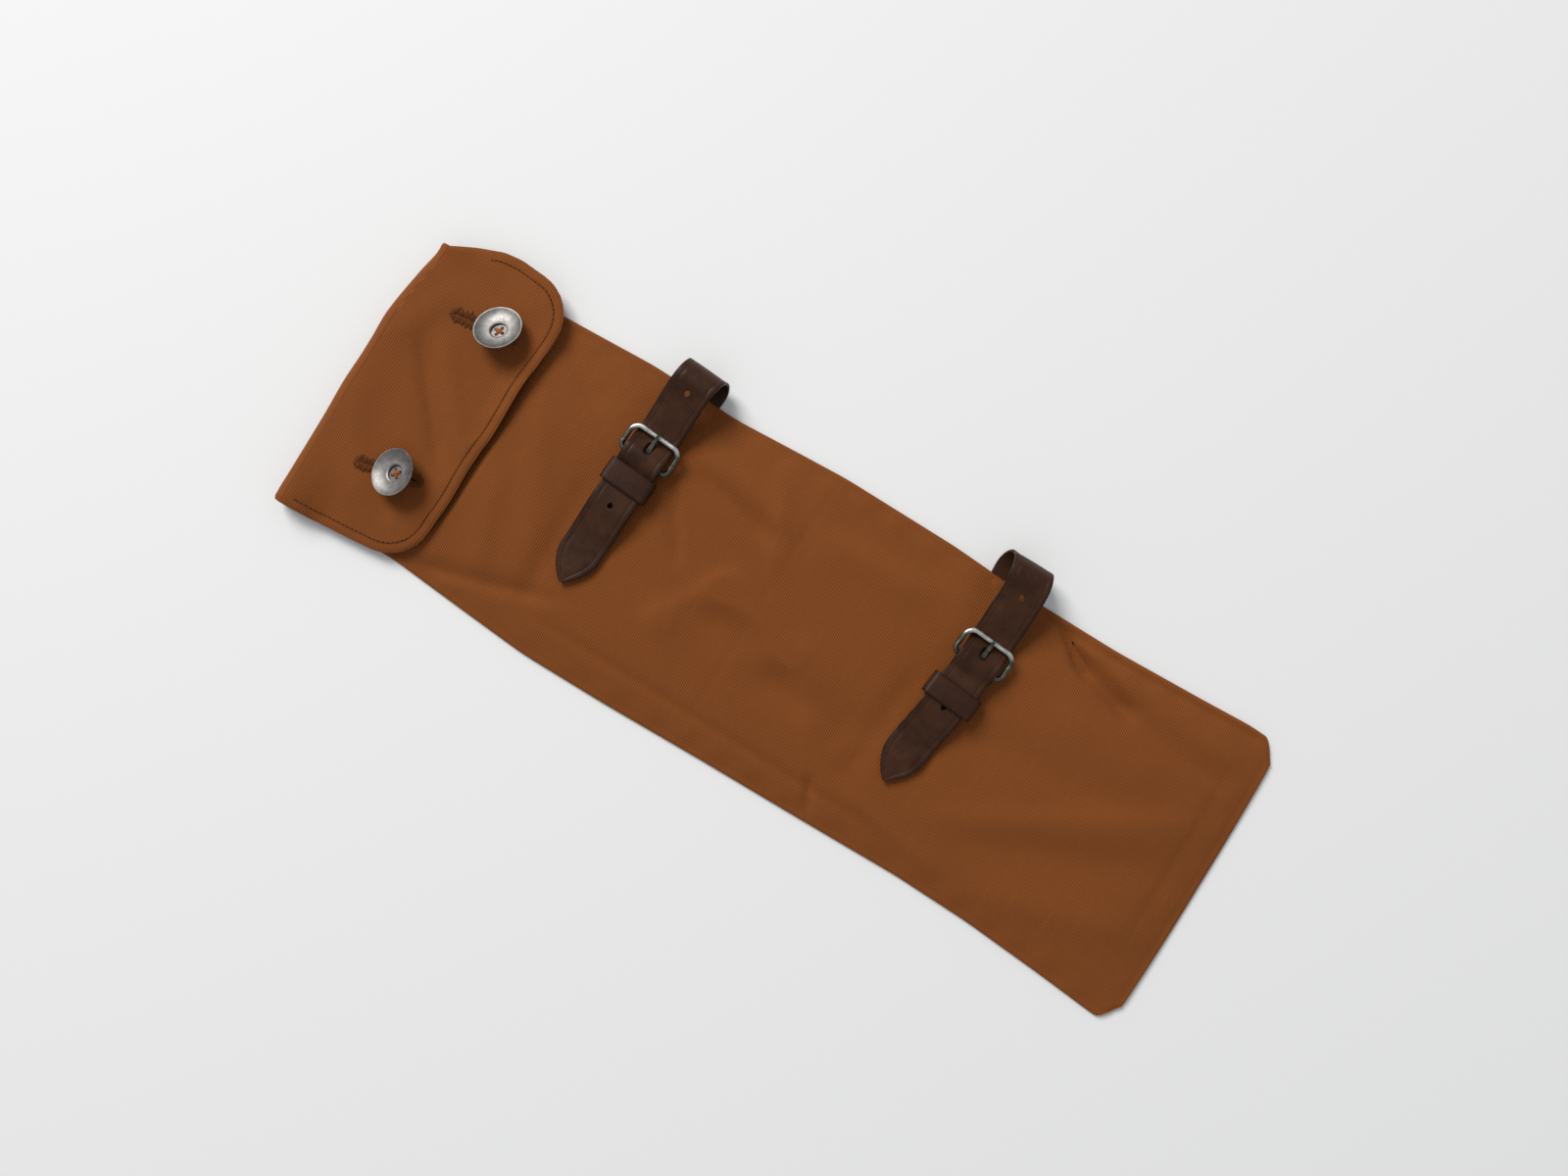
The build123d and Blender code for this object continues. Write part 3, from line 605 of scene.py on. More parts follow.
def flap_reach(share):
    """The free edge's x for each share of the width, with both corners rounded."""
    from_side = (1 - np.abs(share)) * 66.5
    near = np.clip(FLAP_CORNER - from_side, 0, FLAP_CORNER)
    turned = FLAP_CORNER - np.sqrt(np.clip(FLAP_CORNER ** 2 - near ** 2, 0, None))
    ripple = 0.35 * np.sin(share * 11 + 1.0)
    return -140.7 + 2.2 * share + ripple - turned


SHANKS = {1: (-158.9, 42.1), 2: (-164.0, -28.3)}
HOLES = {1: ((-167.0, 41.2), 6.5, 8.2), 2: ((-169.0, -29.4), 13.0, 5.1)}
SLIT_LENGTH = 25.0
# The flap's own folds, listed as the front's are.
FLAP_FOLDS = [
    ((-182, 19), (-157, -12), 5.0, -1.9, 0.25), ((-176, 24), (-150, -6), 6.0, 1.3, 0.0),
    ((-199, 58), (-166, 54), 6.0, -1.4, 0.0), ((-198, -6), (-176, -44), 7.0, 1.0, 0.0),
    ((-196, 22), (-184, 46), 6.0, 0.8, 0.0), ((-158, -46), (-146, -54), 4.0, 1.0, 0.0),
]
FACING_RUN, FACING_SPAN = 0.945, 0.988  # the facing's share of the flap's length and width
STITCH_PITCH = 2.03


def flap_drape(x, y):
    """Height of the underside of the flap's facing."""
    near_fold = smooth((x - FOLD_X) / 18)
    height = 7.7 + 0.9 * (1 - near_fold)
    height = height - 3.3 * smooth((-36 - y) / 27) * near_fold
    height = height - 1.5 * smooth((y - 52) / 20) * near_fold * (1 - 0.7 * smooth((x + 168) / 20))
    # the free edge stands up between the buttons, past the reach of a button that tips over
    lift = hump(y, 26, 23.0) * smooth((x + 151) / 14)
    height = height + 3.6 * lift + 0.9 * hump(y, -18, 20.0) * smooth((x + 158) / 18)
    for fold in FLAP_FOLDS:
        height = height + fold_line(x, y, *fold)
    for px, py in SHANKS.values():
        height = height - 0.5 * hump(np.hypot(x - px, y - py), 0, 10.0)
    return np.maximum(height, front_height(np.maximum(x, MOUTH_X + 1), y) + 0.25)


def flap_grid():
    """The flap's flat grid past its fold: x, y and each point's distance from the free edges."""
    arc = np.linspace(0, math.pi / 2, 9)
    rim = np.concatenate([[0, 0.005, 0.012], 0.27 * (1 - np.cos(arc[2:]))])
    share = np.concatenate([-1 + rim, np.linspace(-0.715, 0.715, 84), (1 - rim)[::-1]])
    run = np.concatenate([np.linspace(0, 0.94, 50), [0.955, 0.968, 0.979, 0.988, 0.995, 1.0]])
    start = FOLD_X + slant(share * 62)
    x = start[None, :] + (flap_reach(share) - start)[None, :] * run[:, None]
    y = (flap_loop(x) + flap_far(x)) / 2 + (flap_loop(x) - flap_far(x)) / 2 * share[None, :]
    return x, y, share


def outline_of(x, y):
    """The free outline of a grid of points: along one side, round the free edge and back."""
    points = [(x[i, 0], y[i, 0]) for i in range(len(x))]
    points += [(x[-1, j], y[-1, j]) for j in range(1, x.shape[1])]
    points += [(x[i, -1], y[i, -1]) for i in range(len(x) - 2, -1, -1)]
    return np.array(points)


def edge_distance(x, y, line):
    """Each point's distance from a polyline."""
    spot = np.stack([x.ravel(), y.ravel()], axis=-1)
    best = np.full(len(spot), 1e9)
    for a, b in zip(line[:-1], line[1:]):
        run = b - a
        t = np.clip((spot - a) @ run / max(run @ run, 1e-9), 0, 1)
        best = np.minimum(best, np.linalg.norm(spot - a - t[:, None] * run, axis=1))
    return best.reshape(x.shape)


def inset_line(line, inset, step):
    """Points a step apart along a polyline moved sideways to its left, with the way at each."""
    run = np.gradient(line, axis=0)
    run /= np.linalg.norm(run, axis=1)[:, None]
    moved = line + np.stack([-run[:, 1], run[:, 0]], axis=-1) * inset
    keep = np.concatenate([[True], ((moved[1:] - moved[:-1]) * run[1:]).sum(axis=1) > 0])
    moved = moved[keep]
    whole = run_lengths(moved)[-1]
    points = resample(moved, np.linspace(0, whole, int(whole / step) + 1))
    ways = np.gradient(points, axis=0)
    return points, ways / np.linalg.norm(ways, axis=1)[:, None]


def seam_groove(distance, x, y):
    """What the topstitching does to the flap's outer cloth: a groove, and puckers along the edge."""
    groove = -0.08 * hump(distance, SEAM_IN, 0.7)
    roll = 0.03 * hump(distance, 1.9, 1.3)
    ripple = np.sin((x * 0.9 - y) / 2.3 + 1.3 * np.sin((x + y) / 13.0))
    return groove + roll + 0.13 * ripple * hump(distance, 5.0, 3.5)


def slit_outline(number):
    """The open buttonhole: widest where the thread shank stands in it."""
    (cx, cy), turn, along = HOLES[number]
    turn = math.radians(turn)
    way = np.array([math.cos(turn), math.sin(turn)])
    across = np.array([-way[1], way[0]])
    reach = SLIT_LENGTH / 2
    t = np.linspace(-reach, reach, 41)
    half = 0.05 + 1.45 * hump(t, along, 4.2)
    half = half * np.sqrt(np.clip(1 - (t / reach) ** 6, 0.0, 1)) + 0.03
    middle = np.array([cx, cy]) + t[:, None] * way
    left = middle + across * half[:, None]
    right = (middle - across * half[:, None])[::-1]
    return [tuple(p) for p in np.concatenate([right, left])], middle, half, way, across


def make_flap():
    """The flap's outer cloth with its fold, the facing behind it, and all their stitching."""
    x, y, share = flap_grid()
    line = outline_of(x, y)
    distance = edge_distance(x, y, line)
    low = flap_drape(x, y)
    low = low - 0.25 * np.exp(-distance / 1.2)
    outer_low = low + CLOTH + 0.02
    outer_top = outer_low + CLOTH + seam_groove(distance, x, y)
    outer_top = outer_top - 0.42 * np.sqrt(np.clip(1 - distance / 0.9, 0, 1))
    # the fold: half a roll from the back up to the flap, round its own middle at each point of its length
    turn = np.linspace(-math.pi / 2, -3 * math.pi / 2, 25)[:-1]
    middle_top = (outer_low[0] + outer_top[0]) / 2
    roll = (middle_top - 0.4) / 2
    half = (outer_top[0] - outer_low[0]) / 2
    fold_x = x[0] + (roll + half) * np.cos(turn)[:, None]
    fold_z = 0.4 + roll + (roll + half) * np.sin(turn)[:, None]
    inner_x = x[0] + (roll - half) * np.cos(turn)[:, None]
    inner_z = 0.4 + roll + (roll - half) * np.sin(turn)[:, None]
    fold_y = np.repeat(y[:1], len(turn), axis=0)
    whole_x = np.concatenate([fold_x, x])
    whole_y = np.concatenate([fold_y, y])
    top = np.concatenate([fold_z, outer_top])
    under = np.concatenate([inner_z, outer_low])
    under_x = np.concatenate([inner_x, x])
    flat_x = np.concatenate([x[0] + roll * (turn[:, None] - turn[-1]), x])
    flat = np.stack([flat_x, whole_y], axis=-1).reshape(-1, 2)
    outer = shell("flap_cloth", whole_x, whole_y, top, under, CANVAS, uv=flat, x_inner=under_x)
    middle_y = (y[:, :1] + y[:, -1:]) / 2
    facing = shell("flap_facing_cloth", FOLD_X + 3 + (x - FOLD_X) * FACING_RUN,
                   middle_y + (y - middle_y) * FACING_SPAN, low + CLOTH, low, FACING)
    slits = {number: slit_outline(number) for number in HOLES}
    cut(outer, [prism(slits[number][0], 4, 16) for number in slits])
    cut(facing, [prism(slits[number][0], 4, 16) for number in slits])
    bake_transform(outer)
    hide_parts("flap_outer", "flap_fold_strip")
    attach(facing, "flap")
    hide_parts("flap_lining")

    def top_at(px, py):
        """Height of the outer face anywhere on the flap."""
        near = edge_distance(np.array([px]), np.array([py]), line)
        height = flap_drape(np.array([px]), np.array([py])) - 0.25 * np.exp(-near / 1.2)
        return float((height + 2 * CLOTH + 0.02 + seam_groove(near, np.array([px]), np.array([py])))[0])

    points, ways = inset_line(line, SEAM_IN, STITCH_PITCH)
    rows, holes = [], []
    for (px, py), way in zip(points, ways):
        if px < FOLD_X + 2 or (py > 0 and px < -178):
            continue
        pierced = np.array([px, py]) + way * STITCH_PITCH / 2
        ends = (pierced - way * 0.16, pierced + way * 0.16)
        holes.append(tuple((*end, top_at(*end) + 0.03) for end in ends) + ((0, 0, 1),))
        step = way * (0.72 + 0.08 * RNG.random()) + RNG.normal(0, 0.04, 2)
        a, b = np.array([px, py]) - step, np.array([px, py]) + step
        rows.append(((*a, top_at(*a)), (*b, top_at(*b)), (0, 0, 1)))
    # painted shade: a small dark blob at each needle hole between the topstitches stands for the shade in
    # the hole
    hole_shade_row = stitches("flap_needle_hole_shade", holes, 0.4, NEEDLE_HOLE_SHADE, rise=0.0)
    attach(hole_shade_row, "flap")
    stitching = stitches("flap_topstitch", rows, 0.29, TOPSTITCH_THREAD, rise=0.4)
    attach(stitching, "flap")
    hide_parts("flap_topstitching")

    for number in HOLES:
        _, middle, half, way, across = slits[number]
        rows = []
        count = len(middle)
        for side in (-1, 1):
            for k in np.arange(0, SLIT_LENGTH, 0.72):
                t = k / SLIT_LENGTH * (count - 1)
                spot = np.array([np.interp(t, range(count), middle[:, axis]) for axis in (0, 1)])
                opened = np.interp(t, range(count), half)
                inner = spot + side * across * (opened - 0.1)
                tilt = way * RNG.normal(0.12, 0.22)
                outer_end = spot + side * (across * (opened + 3.3 + RNG.normal(0, 0.45)) + tilt)
                rows.append((inner, outer_end))
        for end, sign in ((middle[0], -1), (middle[-1], 1)):
            for angle in np.linspace(-1.3, 1.3, 7):
                ray = sign * way * math.cos(angle) + across * math.sin(angle)
                rows.append((end + ray * 0.1, end + ray * (2.8 + RNG.normal(0, 0.3))))
        lifted = []
        for a, b in rows:
            base = max(top_at(*a), top_at(*b)) - 0.02
            lifted.append(((*a, base - 0.1), (*b, top_at(*b)), (0, 0, 1)))
        whip = stitches(f"buttonhole_whipping_{number}", lifted, 0.34, WHIP_THREAD,
                        rise=0.6)
        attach(whip, "flap")
        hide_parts(f"buttonhole_stitching_{number}")
    return outer, facing


# ---------------------------------------------------------------- thread
def stitches(name, rows, radius, material, rise=0.5, sides=7):
    """Short bent lengths of thread that go down into the cloth at both ends, as (start, end, way up)."""
    steps = np.array([0.0, 0.1, 0.27, 0.5, 0.73, 0.9, 1.0])
    girth = np.array([0.45, 0.85, 1.0, 1.04, 1.0, 0.85, 0.45]) * radius
    lift = np.array([-1.0, -0.15, rise, rise + 0.12, rise, -0.15, -1.0]) * radius
    verts, faces = [], []
    for start, end, up in rows:
        start, end, up = (np.array(v, float) for v in (start, end, up))
        way = (end - start) / max(np.linalg.norm(end - start), 1e-6)
        side = np.cross(up, way)
        side /= max(np.linalg.norm(side), 1e-6)
        up = np.cross(way, side)
        base = len(verts)
        for t, r, h in zip(steps, girth, lift):
            middle = start + (end - start) * t + up * h
            for k in range(sides):
                angle = 2 * math.pi * k / sides
                verts.append(middle + side * r * math.cos(angle) + up * r * math.sin(angle))
        faces += grid_faces(len(steps), sides, start=base, wrap=True)
        faces.append(tuple(range(base, base + sides))[::-1])
        last = base + (len(steps) - 1) * sides
        faces.append(tuple(range(last, last + sides)))
    return tidy(new_piece(name, verts, faces, material), weld=0.0001)


def winding(name, foot, top, radius, material, turns=9):
    """A thread shank: a core wound with close turns."""
    foot, top = np.array(foot, float), np.array(top, float)
    rings, sides = turns * 8, 20
    verts = []
    for i in range(rings + 1):
        t = i / rings
        middle = foot + (top - foot) * t
        flare = 1 + 0.35 * (1 - t) ** 4 - 0.55 * max(0.0, (t - 0.86) / 0.14) ** 2
        for k in range(sides):
            angle = 2 * math.pi * k / sides
            bulge = 0.12 * abs(math.sin(math.pi * turns * t + angle / 2))
            r = (radius - 0.14 + bulge) * flare
            verts.append(middle + np.array([r * math.cos(angle), r * math.sin(angle), 0]))
    faces = grid_faces(rings + 1, sides, wrap=True)
    faces += [tuple(range(sides))[::-1], tuple(range(rings * sides, (rings + 1) * sides))]
    return tidy(new_piece(name, verts, faces, material), weld=0.0001)


# ---------------------------------------------------------------- buttons
BUTTON_TILT = math.radians(25)
LEANS = {1: (-0.64, 0.77), 2: (-1.0, 0.0)}
PIVOT_Z = 10.8
WEB_TOP = 2.2  # top of a button's web over its pivot
HOLE_CIRCLE = 1.8


def make_buttons():
    """The buttons' thread and metal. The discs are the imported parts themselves."""
    for number, (px, py) in SHANKS.items():
        lean = np.array([*LEANS[number], 0.0])
        lean /= np.linalg.norm(lean)
        normal = lean * math.sin(BUTTON_TILT) + np.array([0, 0, math.cos(BUTTON_TILT)])
        across = np.cross([0, 0, 1], lean)
        along = np.cross(normal, across)
        pivot = np.array([px, py, PIVOT_Z])
        foot = float(front_height(np.array([px]), np.array([py]))[0])
        shank = winding(f"button_shank_thread_{number}", (px, py, foot - 0.1), pivot + [0, 0, 1.2], 1.35,
                        CANVAS_THREAD)
        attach(shank, "case")
        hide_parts(f"button_thread_shank_{number}")
        rows = []
        for turn in (45, 135):
            angle = math.radians(turn)
            way = across * math.cos(angle) + along * math.sin(angle)
            beside = across * -math.sin(angle) + along * math.cos(angle)
            for offset, level in ((-0.34, 0.12), (0.05, 0.3), (0.38, 0.1)):
                middle = pivot + normal * (WEB_TOP + level + (0.22 if turn == 135 else 0)) + beside * offset
                reach = way * (HOLE_CIRCLE + 0.28)
                rows.append((middle - reach, middle + reach, normal))
        cross = stitches(f"button_cross_thread_{number}", rows, 0.3, CROSS_THREAD, rise=0.2)
        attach(cross, f"button_{number}")
        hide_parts(f"button_thread_cross_{number}")
        plain_metal(f"button_disc_{number}", BUTTON_METAL)


# ---------------------------------------------------------------- leather
def filleted(points, radii, step=0.9):
    """A polyline with its corners rounded, as points about a step apart."""
    points = [np.array(p, float) for p in points]
    dense = [points[0]]
    for before, corner, after, radius in zip(points, points[1:], points[2:], radii):
        a, b = (before - corner), (after - corner)
        a, b = a / np.linalg.norm(a), b / np.linalg.norm(b)
        opening = math.acos(np.clip(a @ b, -1, 1))
        reach = radius / math.tan(opening / 2)
        start, end = corner + a * reach, corner + b * reach
        middle = corner + (a + b) / np.linalg.norm(a + b) * radius / math.sin(opening / 2)
        first, last = start - middle, end - middle
        sweep = math.acos(np.clip(first @ last / radius ** 2, -1, 1))
        for k in range(25):
            t = k / 24
            turned = first * math.sin((1 - t) * sweep) + last * math.sin(t * sweep)
            dense.append(middle + turned / math.sin(sweep))
    dense.append(points[-1])
    dense = np.array(dense)
    whole = run_lengths(dense)[-1]
    at = np.linspace(0, whole, int(whole / step) + 1)
    return resample(dense, at), at


def leather_section(half, thick, crease, rim=0.42):
    """A strap's section as (across, out) points, with round rims and creases, and the wear."""
    scale = min(1.0, half / (crease + 2.2))
    ins = np.array([0, 0.28 * rim, rim, (rim + crease) / 2, crease - 0.55, crease - 0.26, crease,
                    crease + 0.26, crease + 0.6, crease + 1.7]) * scale
    rim = rim * scale
    rounded = rim * (1 - np.sqrt(np.clip(1 - (1 - ins / rim) ** 2, 0, 1))) * (ins < rim)
    dip = 0.17 * scale * hump(ins, crease * scale, 0.24 * scale)
    centre = np.linspace(-1, 1, 9)[1:-1] * (half - ins[-1])
    across = np.concatenate([-(half - ins), centre, (half - ins)[::-1]])
    crown = 0.1 * (1 - (across / half) ** 2)
    drop = np.concatenate([rounded, np.zeros(7), rounded[::-1]])
    crease_dip = np.concatenate([dip, np.zeros(7), dip[::-1]])
    outer = thick / 2 - drop - crease_dip + crown * scale - 0.1 * scale
    inner = -(thick / 2 - drop)
    wear_and_highlight = np.where(ins < 0.7 * scale, 0.85, 0.0) + 0.5 * (dip > 0.08 * scale)
    wear_half = np.concatenate([wear_and_highlight, np.zeros(7)])
    wear_row = np.concatenate([wear_half, wear_half[:10][::-1]])
    points = np.stack([np.concatenate([across, across[::-1]]),
                       np.concatenate([outer, inner[::-1]])], axis=-1)
    return points, np.concatenate([wear_row, np.where(wear_row[::-1] > 0.8, 0.85, 0.25)])


def ribbon(name, path, side, half, thick, crease, at, closed=False, ripple=None):
    """A strap along a path: side is the way across it, and half its half width at each point."""
    way = np.gradient(path, axis=0)
    if closed:
        way = np.roll(path, -1, axis=0) - np.roll(path, 1, axis=0)
    way /= np.linalg.norm(way, axis=1)[:, None]
    side = np.broadcast_to(side, path.shape)
    side = side - (side * way).sum(axis=1)[:, None] * way
    side = side / np.linalg.norm(side, axis=1)[:, None]
    out = np.cross(way, side)
    verts, flat, wear = [], [], []
    for k in range(len(path)):
        section, wear_and_highlight = leather_section(half[k], thick, crease)
        swell = 0 if ripple is None else ripple[k]
        for a, n in section:
            verts.append(path[k] + side[k] * a + out[k] * (n + swell))
            flat.append((a, at[k]))
        wear += list(wear_and_highlight)
    count = len(section)
    faces = grid_faces(len(path), count, wrap=True)
    last = (len(path) - 1) * count
    if closed:
        faces += [(last + j, last + (j + 1) % count, (j + 1) % count, j) for j in range(count)]
    else:
        faces += [tuple(range(count))[::-1], tuple(range(last, last + count))]
    return tidy(new_piece(name, verts, faces, LEATHER, uv=flat, wear=wear), weld=0.0005)


# skew, place, loop, buckle's turn and tail's lean of each strap, and its holes along the tail
BENCH = {
    1: {"x": -82.6, "skew": -3.5, "turn": 0.0, "lean": 0.0, "loop": 73.5, "holes": (60.8, 5.8)},
    2: {"x": 76.5, "skew": 0.0, "turn": -4.5, "lean": -7.8, "loop": 75.8, "holes": (61.2, 6.8)},
}
PIVOT_S = 28.5
KEEPERS = {1: (18.5, 19.2, 0.0), 2: (12.5, 20.6, -0.7)}  # middle along the strap, width inside, shift
BILLET_PATH = [(43.0, 9.9), (38.5, 10.1), (31.0, 14.95), (27.0, 14.95), (23.6, 13.1), (5.5, 13.1),
               (-10.0, 9.2), (-31.5, 9.2)]
# how far the leather strays across its straight line: on the back, and on the front, by place along it
BACK_SWAY = {1: ([40, 56, 66, 74], [0.0, 1.4, 3.2, 3.6]), 2: ([40, 56, 66, 76], [0.0, -2.0, -4.3, -4.6])}
FRONT_SWAY = {1: ([-31, 28, 40, 60, 66, 70, 74], [0.2, -0.1, -0.3, -0.2, 0.1, 0.5, 1.0]),
              2: ([-31, 28, 40, 61, 66, 70, 76], [0.0, 0.0, 1.1, 0.9, 0.4, -0.3, -1.5])}


def bench(number, extra=0.0):
    """A strap's own axes in plan: where its line crosses the pouch's middle, along it, and across it."""
    angle = math.radians(BENCH[number]["skew"] + extra)
    along = np.array([-math.sin(angle), math.cos(angle), 0])
    across = np.array([math.cos(angle), math.sin(angle), 0])
    return np.array([BENCH[number]["x"], PIVOT_S, 0]) - along * PIVOT_S, along, across


def strap_path(number):
    """The whole strap's middle line from its sewn end, round the loop, to its tip."""
    loop = BENCH[number]["loop"]
    corners = [(20.0, 0.8), (loop, 0.8), (loop, 20.8), *BILLET_PATH]
    flat, at = filleted(corners, [7.5, 7.5, 12, 6, 4, 4, 5, 20, 20])
    s, z = flat[:, 0], flat[:, 1]
    front = smooth((z - 1.2) / 7.8)
    lean = math.sin(math.radians(BENCH[number]["lean"]))
    spread = 7.0
    leant = lean * spread * np.log1p(np.exp(np.clip((25.0 - s) / spread, -30, 30)))
    on_front = np.interp(s, *FRONT_SWAY[number]) + leant
    sway = soften(np.interp(s, *BACK_SWAY[number]) * (1 - front) + on_front * front, 13)
    origin, along, across = bench(number)
    path = origin + s[:, None] * along + sway[:, None] * across + z[:, None] * np.array([0, 0, 1])
    return path, at, s, z


def make_strap(number):
    """One strap with its buckle leather, keeper and stitching."""
    origin, along, across = bench(number)
    path, at, s, z = strap_path(number)
    crest = int(np.argmax(z > 14))
    half = np.full(len(path), STRAP_WIDTH / 2)
    t = np.clip((s + 31.5) / 15.0, 0, 1)
    on_tip = (s < -16.5) & (np.arange(len(s)) > crest)
    half = np.where(on_tip, 9.0 * np.clip(1 - (1 - t) ** 1.9, 0.004, 1) ** 0.86, half)
    phase = 0.7 * number
    ripple = 0.05 * np.sin(at / 3.7 + phase) + 0.06 * np.sin(at / 7.9 + 2 * phase)
    if number == 2:
        wrinkled = smooth((at - at[-1] + 34) / 8) * smooth((at[-1] - at) / 8)
        ripple = ripple + 0.1 * np.sin(at / 1.5 + np.sin(at / 4)) * wrinkled
    lower = ribbon(f"strap_loop_leather_{number}", path[: crest + 1], across, half[: crest + 1],
                   STRAP_THICK, 2.5, at[: crest + 1])
    upper = ribbon(f"strap_tail_leather_{number}", path[crest:], across, half[crest:],
                   STRAP_THICK, 2.5, at[crest:],
                   ripple=ripple[crest:] * smooth((at[crest:] - at[crest]) / 6))
    on_front = np.arange(len(s)) > crest + 12
    cutters = []
    for place in BENCH[number]["holes"]:
        k = np.flatnonzero(on_front)[np.argmin(np.abs(s[on_front] - place))]
        ring = [(path[k][0] + STRAP_HOLE * math.cos(a), path[k][1] + STRAP_HOLE * math.sin(a))
                for a in np.linspace(0, 2 * math.pi, 25)[:-1]]
        cutters.append(prism(ring, 6, 24))
    k = np.flatnonzero(on_front)[np.argmin(np.abs(s[on_front] - 34.2))]
    cutters.append(prism(slot_outline(path[k], along, 5.6, 3.6), 6, 24))
    cut(upper, cutters)
    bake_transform(lower)
    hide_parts(f"strap_anchor_{number}")
    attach(upper, f"strap_{number}")
    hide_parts(f"strap_billet_{number}")

    # buckle leather: folded round the pivot bar
    origin, along, across = bench(number, BENCH[number]["turn"])
    around = [(PIVOT_S + 1.95 * math.cos(a), 11.5 + 1.95 * math.sin(a))
              for a in np.linspace(-1.75, 1.75, 17)]
    under = [(2.0, 8.95), (4.6, 8.98), (7.6, 10.28), (16.0, 10.3), (24.6, 10.28), (26.6, 9.75)]
    over = [(26.6, 13.15), (24.4, 11.7), (16.0, 11.56), (7.4, 11.5), (4.6, 10.2), (2.0, 10.18)]
    radii = [2.0, 2.0, 6, 3.0, 1.2] + [0.4] * len(around) + [1.2, 3.0, 6, 2.0, 2.0]
    flat, chape_at = filleted(under + around + over, radii, step=0.6)
    chape_path = origin + flat[:, :1] * along + flat[:, 1:] * np.array([0, 0, 1])
    chape = ribbon(f"chape_leather_{number}", chape_path, across, np.full(len(flat), 8.5), 1.18, 2.2,
                   chape_at)
    pivot = origin + along * PIVOT_S
    window = slot_outline(pivot, along, 7.0, 4.2)
    cut(chape, [prism(window, 5, 20)])
    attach(chape, "case")
    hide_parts(f"chape_{number}")
    rows = []
    for k in range(-2, 3):
        spot = origin + along * 3.2 + across * (3.2 * k)
        rows.append((spot - across * 1.15 + [0, 0, 10.78], spot + across * 1.15 + [0, 0, 10.78], (0, 0, 1)))
    sewn = stitches(f"chape_stitch_{number}", rows, 0.3, LEATHER_THREAD)
    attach(sewn, "case")
    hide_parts(f"chape_stitching_{number}")

    # keeper
    place, inside, shift = KEEPERS[number]
    wide, tall, corner = inside / 2 + 0.6, 2.3 + 0.6, 1.5
    ring = []
    for cx, cz, start in ((wide - corner, tall - corner, 0), (-wide + corner, tall - corner, 90),
                          (-wide + corner, -tall + corner, 180), (wide - corner, -tall + corner, 270)):
        for a in np.radians(np.linspace(start, start + 90, 7)):
            ring.append((cx + corner * math.cos(a), cz + corner * math.sin(a)))
    ring = np.array(ring + ring[:1])
    keeper_at = np.linspace(0, run_lengths(ring)[-1], 73)[:-1]
    ring = resample(ring, keeper_at)
    ring[:, 1] += np.where(ring[:, 1] > 1, 0.4 * (1 - (ring[:, 0] / wide) ** 2), 0)
    middle = origin + along * place + across * shift + np.array([0, 0, 11.8])
    keeper_path = middle + ring[:, :1] * across + ring[:, 1:] * np.array([0, 0, 1])
    keeper = ribbon(f"keeper_leather_{number}", keeper_path, along, np.full(len(ring), 5.0), 1.18, 1.25,
                    keeper_at, closed=True)
    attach(keeper, f"keeper_{number}")
    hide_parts(f"keeper_loop_{number}")

    # the box of stitching that holds the strap to the back
    origin, along, across = bench(number)
    rows = []
    corners = [(-6.4, 23.2), (6.4, 23.2), (6.4, 52.0), (-6.4, 52.0), (-6.4, 23.2)]
    for (a0, s0), (a1, s1) in zip(corners, corners[1:]):
        count = round(math.hypot(a1 - a0, s1 - s0) / 3.2)
        for k in range(count):
            ends = []
            for share in ((k + 0.14) / count, (k + 0.86) / count):
                spot = origin + across * (a0 + (a1 - a0) * share) + along * (s0 + (s1 - s0) * share)
                ends.append(spot + [0, 0, 0.2])
            rows.append((*ends, (0, 0, -1)))
    box_row = stitches(f"strap_sewing_{number}", rows, 0.26, LEATHER_THREAD, rise=0.0)
    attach(box_row, "case")
    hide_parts(f"strap_anchor_stitching_{number}")

    plain_metal(f"buckle_frame_{number}", BUCKLE_METAL)
    plain_metal(f"buckle_tongue_{number}", TONGUE_METAL)


# ---------------------------------------------------------------- put together
CROSS_THREAD = thread_material("thread_button", (0.3, 0.085, 0.018))
front_cloth, back_cloth = make_pouch()
flap_cloth, flap_facing = make_flap()
make_buttons()
for strap_number in STRAPS:
    make_strap(strap_number)

# the hem's row of stitches behind the mouth
hem_rows = []
for hem_y in np.arange(-52.0, 52.0, 2.3):
    hem_x = MOUTH_X + 10.5 + float(slant(np.array(hem_y)))
    ends = []
    for spot_y in (hem_y - 0.8, hem_y + 0.8):
        ends.append((hem_x, spot_y, float(front_height(np.array([hem_x]), np.array([spot_y]))[0])))
    hem_rows.append((*ends, (0, 0, 1)))
hem_stitches = stitches("mouth_hem_stitch", hem_rows, 0.25, CANVAS_THREAD)
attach(hem_stitches, "case")

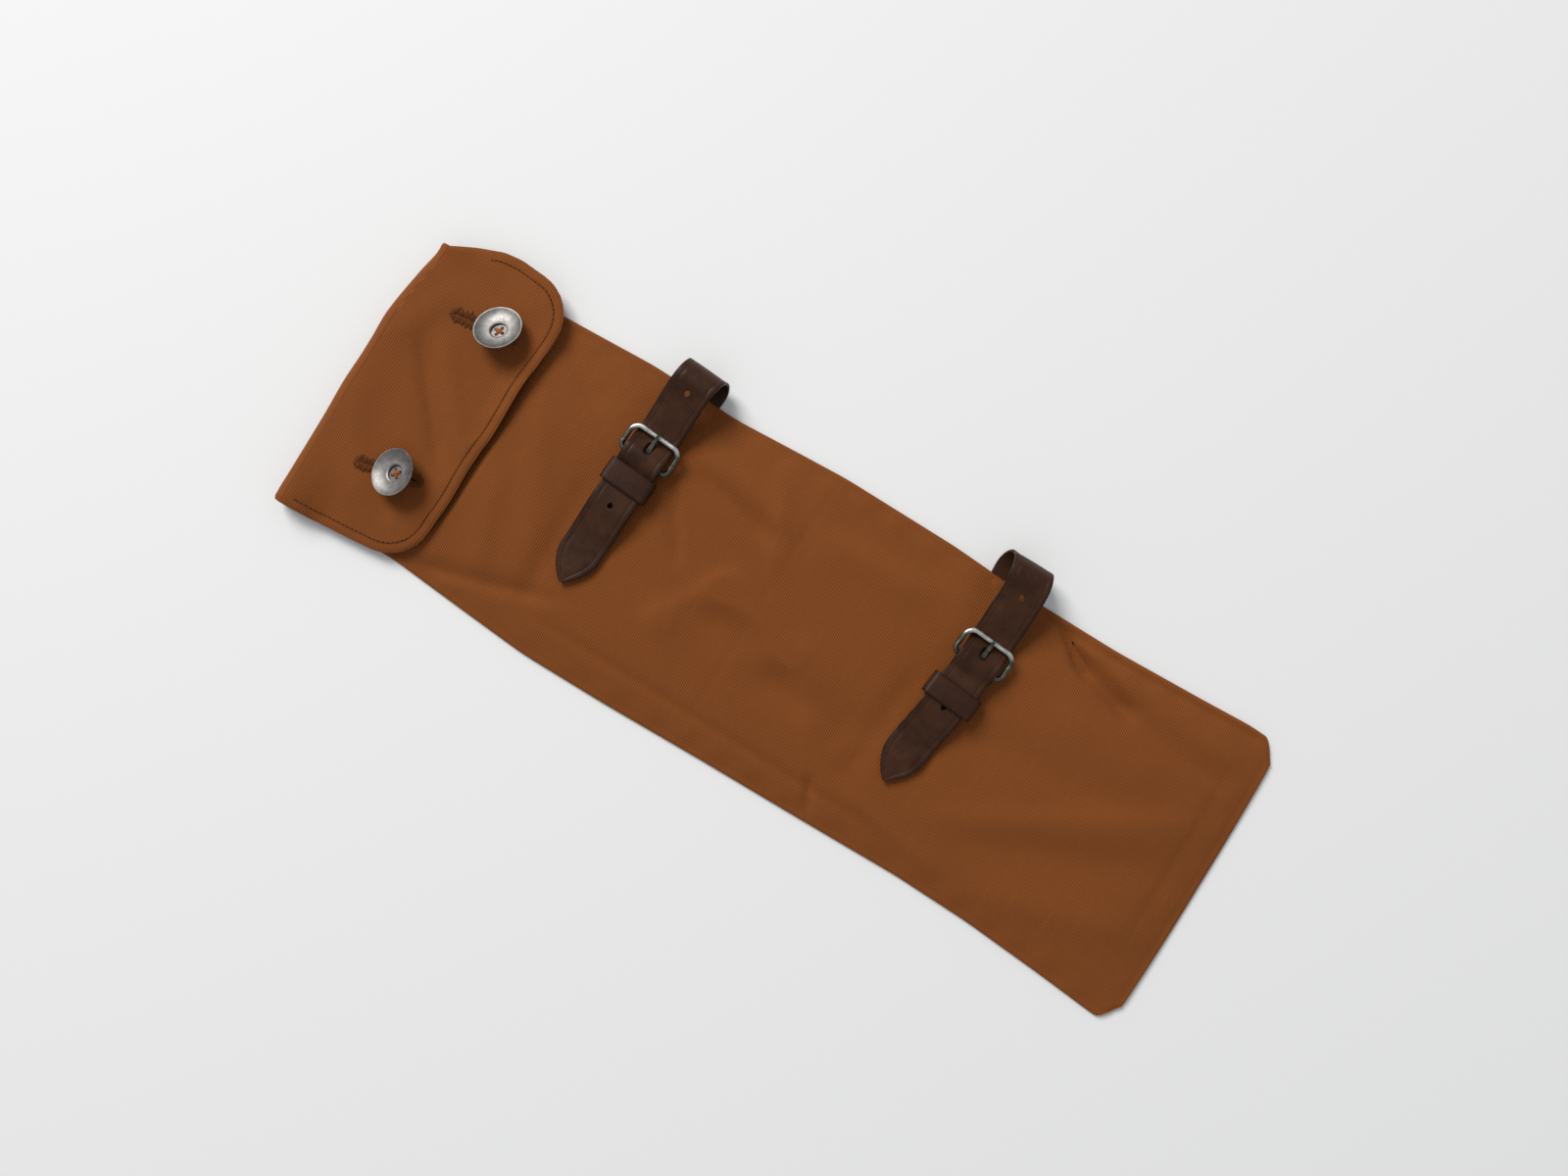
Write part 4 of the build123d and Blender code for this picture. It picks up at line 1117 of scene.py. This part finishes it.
# ---------------------------------------------------------------- table, light and camera
bpy.context.scene.view_settings.view_transform = "Standard"
floor_mesh = bpy.data.meshes.new("table_top")
floor_corners = [(-3, -3, -0.0001), (3, -3, -0.0001), (3, 3, -0.0001), (-3, 3, -0.0001)]
floor_mesh.from_pydata(floor_corners, [], [(0, 1, 2, 3)])
floor = bpy.data.objects.new("table_top", floor_mesh)
bpy.context.scene.collection.objects.link(floor)
floor_paint = bpy.data.materials.new("table_pale")
floor_paint.use_nodes = True
floor_paint.node_tree.nodes["Principled BSDF"].inputs["Base Color"].default_value = (0.80, 0.80, 0.79, 1)
floor_paint.node_tree.nodes["Principled BSDF"].inputs["Roughness"].default_value = 0.7
floor_mesh.materials.append(floor_paint)

world = bpy.data.worlds.new("studio")
world.use_nodes = True
world.node_tree.nodes["Background"].inputs["Color"].default_value = (0.93, 0.96, 1.0, 1)
world.node_tree.nodes["Background"].inputs["Strength"].default_value = 0.45
bpy.context.scene.world = world


def area_light(name, spot, power, size, colour):
    """A square soft light at a spot in metres, aimed at the case."""
    data = bpy.data.lights.new(name, "AREA")
    data.energy = power
    data.size = size
    data.color = colour
    lamp = bpy.data.objects.new(name, data)
    lamp.location = spot
    lamp.rotation_euler = (-Vector(spot)).to_track_quat("-Z", "Y").to_euler()
    bpy.context.scene.collection.objects.link(lamp)
    return lamp


area_light("key_window", (-2.84, 1.56, 2.9), 176, 2.0, (1.0, 0.985, 0.97))

LOOK_AT = (-6.5, 14.4)
CAMERA_HEIGHT = 520.0
camera_data = bpy.data.cameras.new("photo_view")
camera_data.sensor_width = 36
camera_data.lens = 28.7
camera = bpy.data.objects.new("photo_view", camera_data)
camera.location = (LOOK_AT[0] * MM, LOOK_AT[1] * MM, CAMERA_HEIGHT * MM)
camera.rotation_euler = (0, 0, math.atan2(0.5225, 0.853))
camera_data.clip_start, camera_data.clip_end = 0.01, 20
bpy.context.scene.collection.objects.link(camera)
bpy.context.scene.camera = camera

bpy.context.view_layer.update()
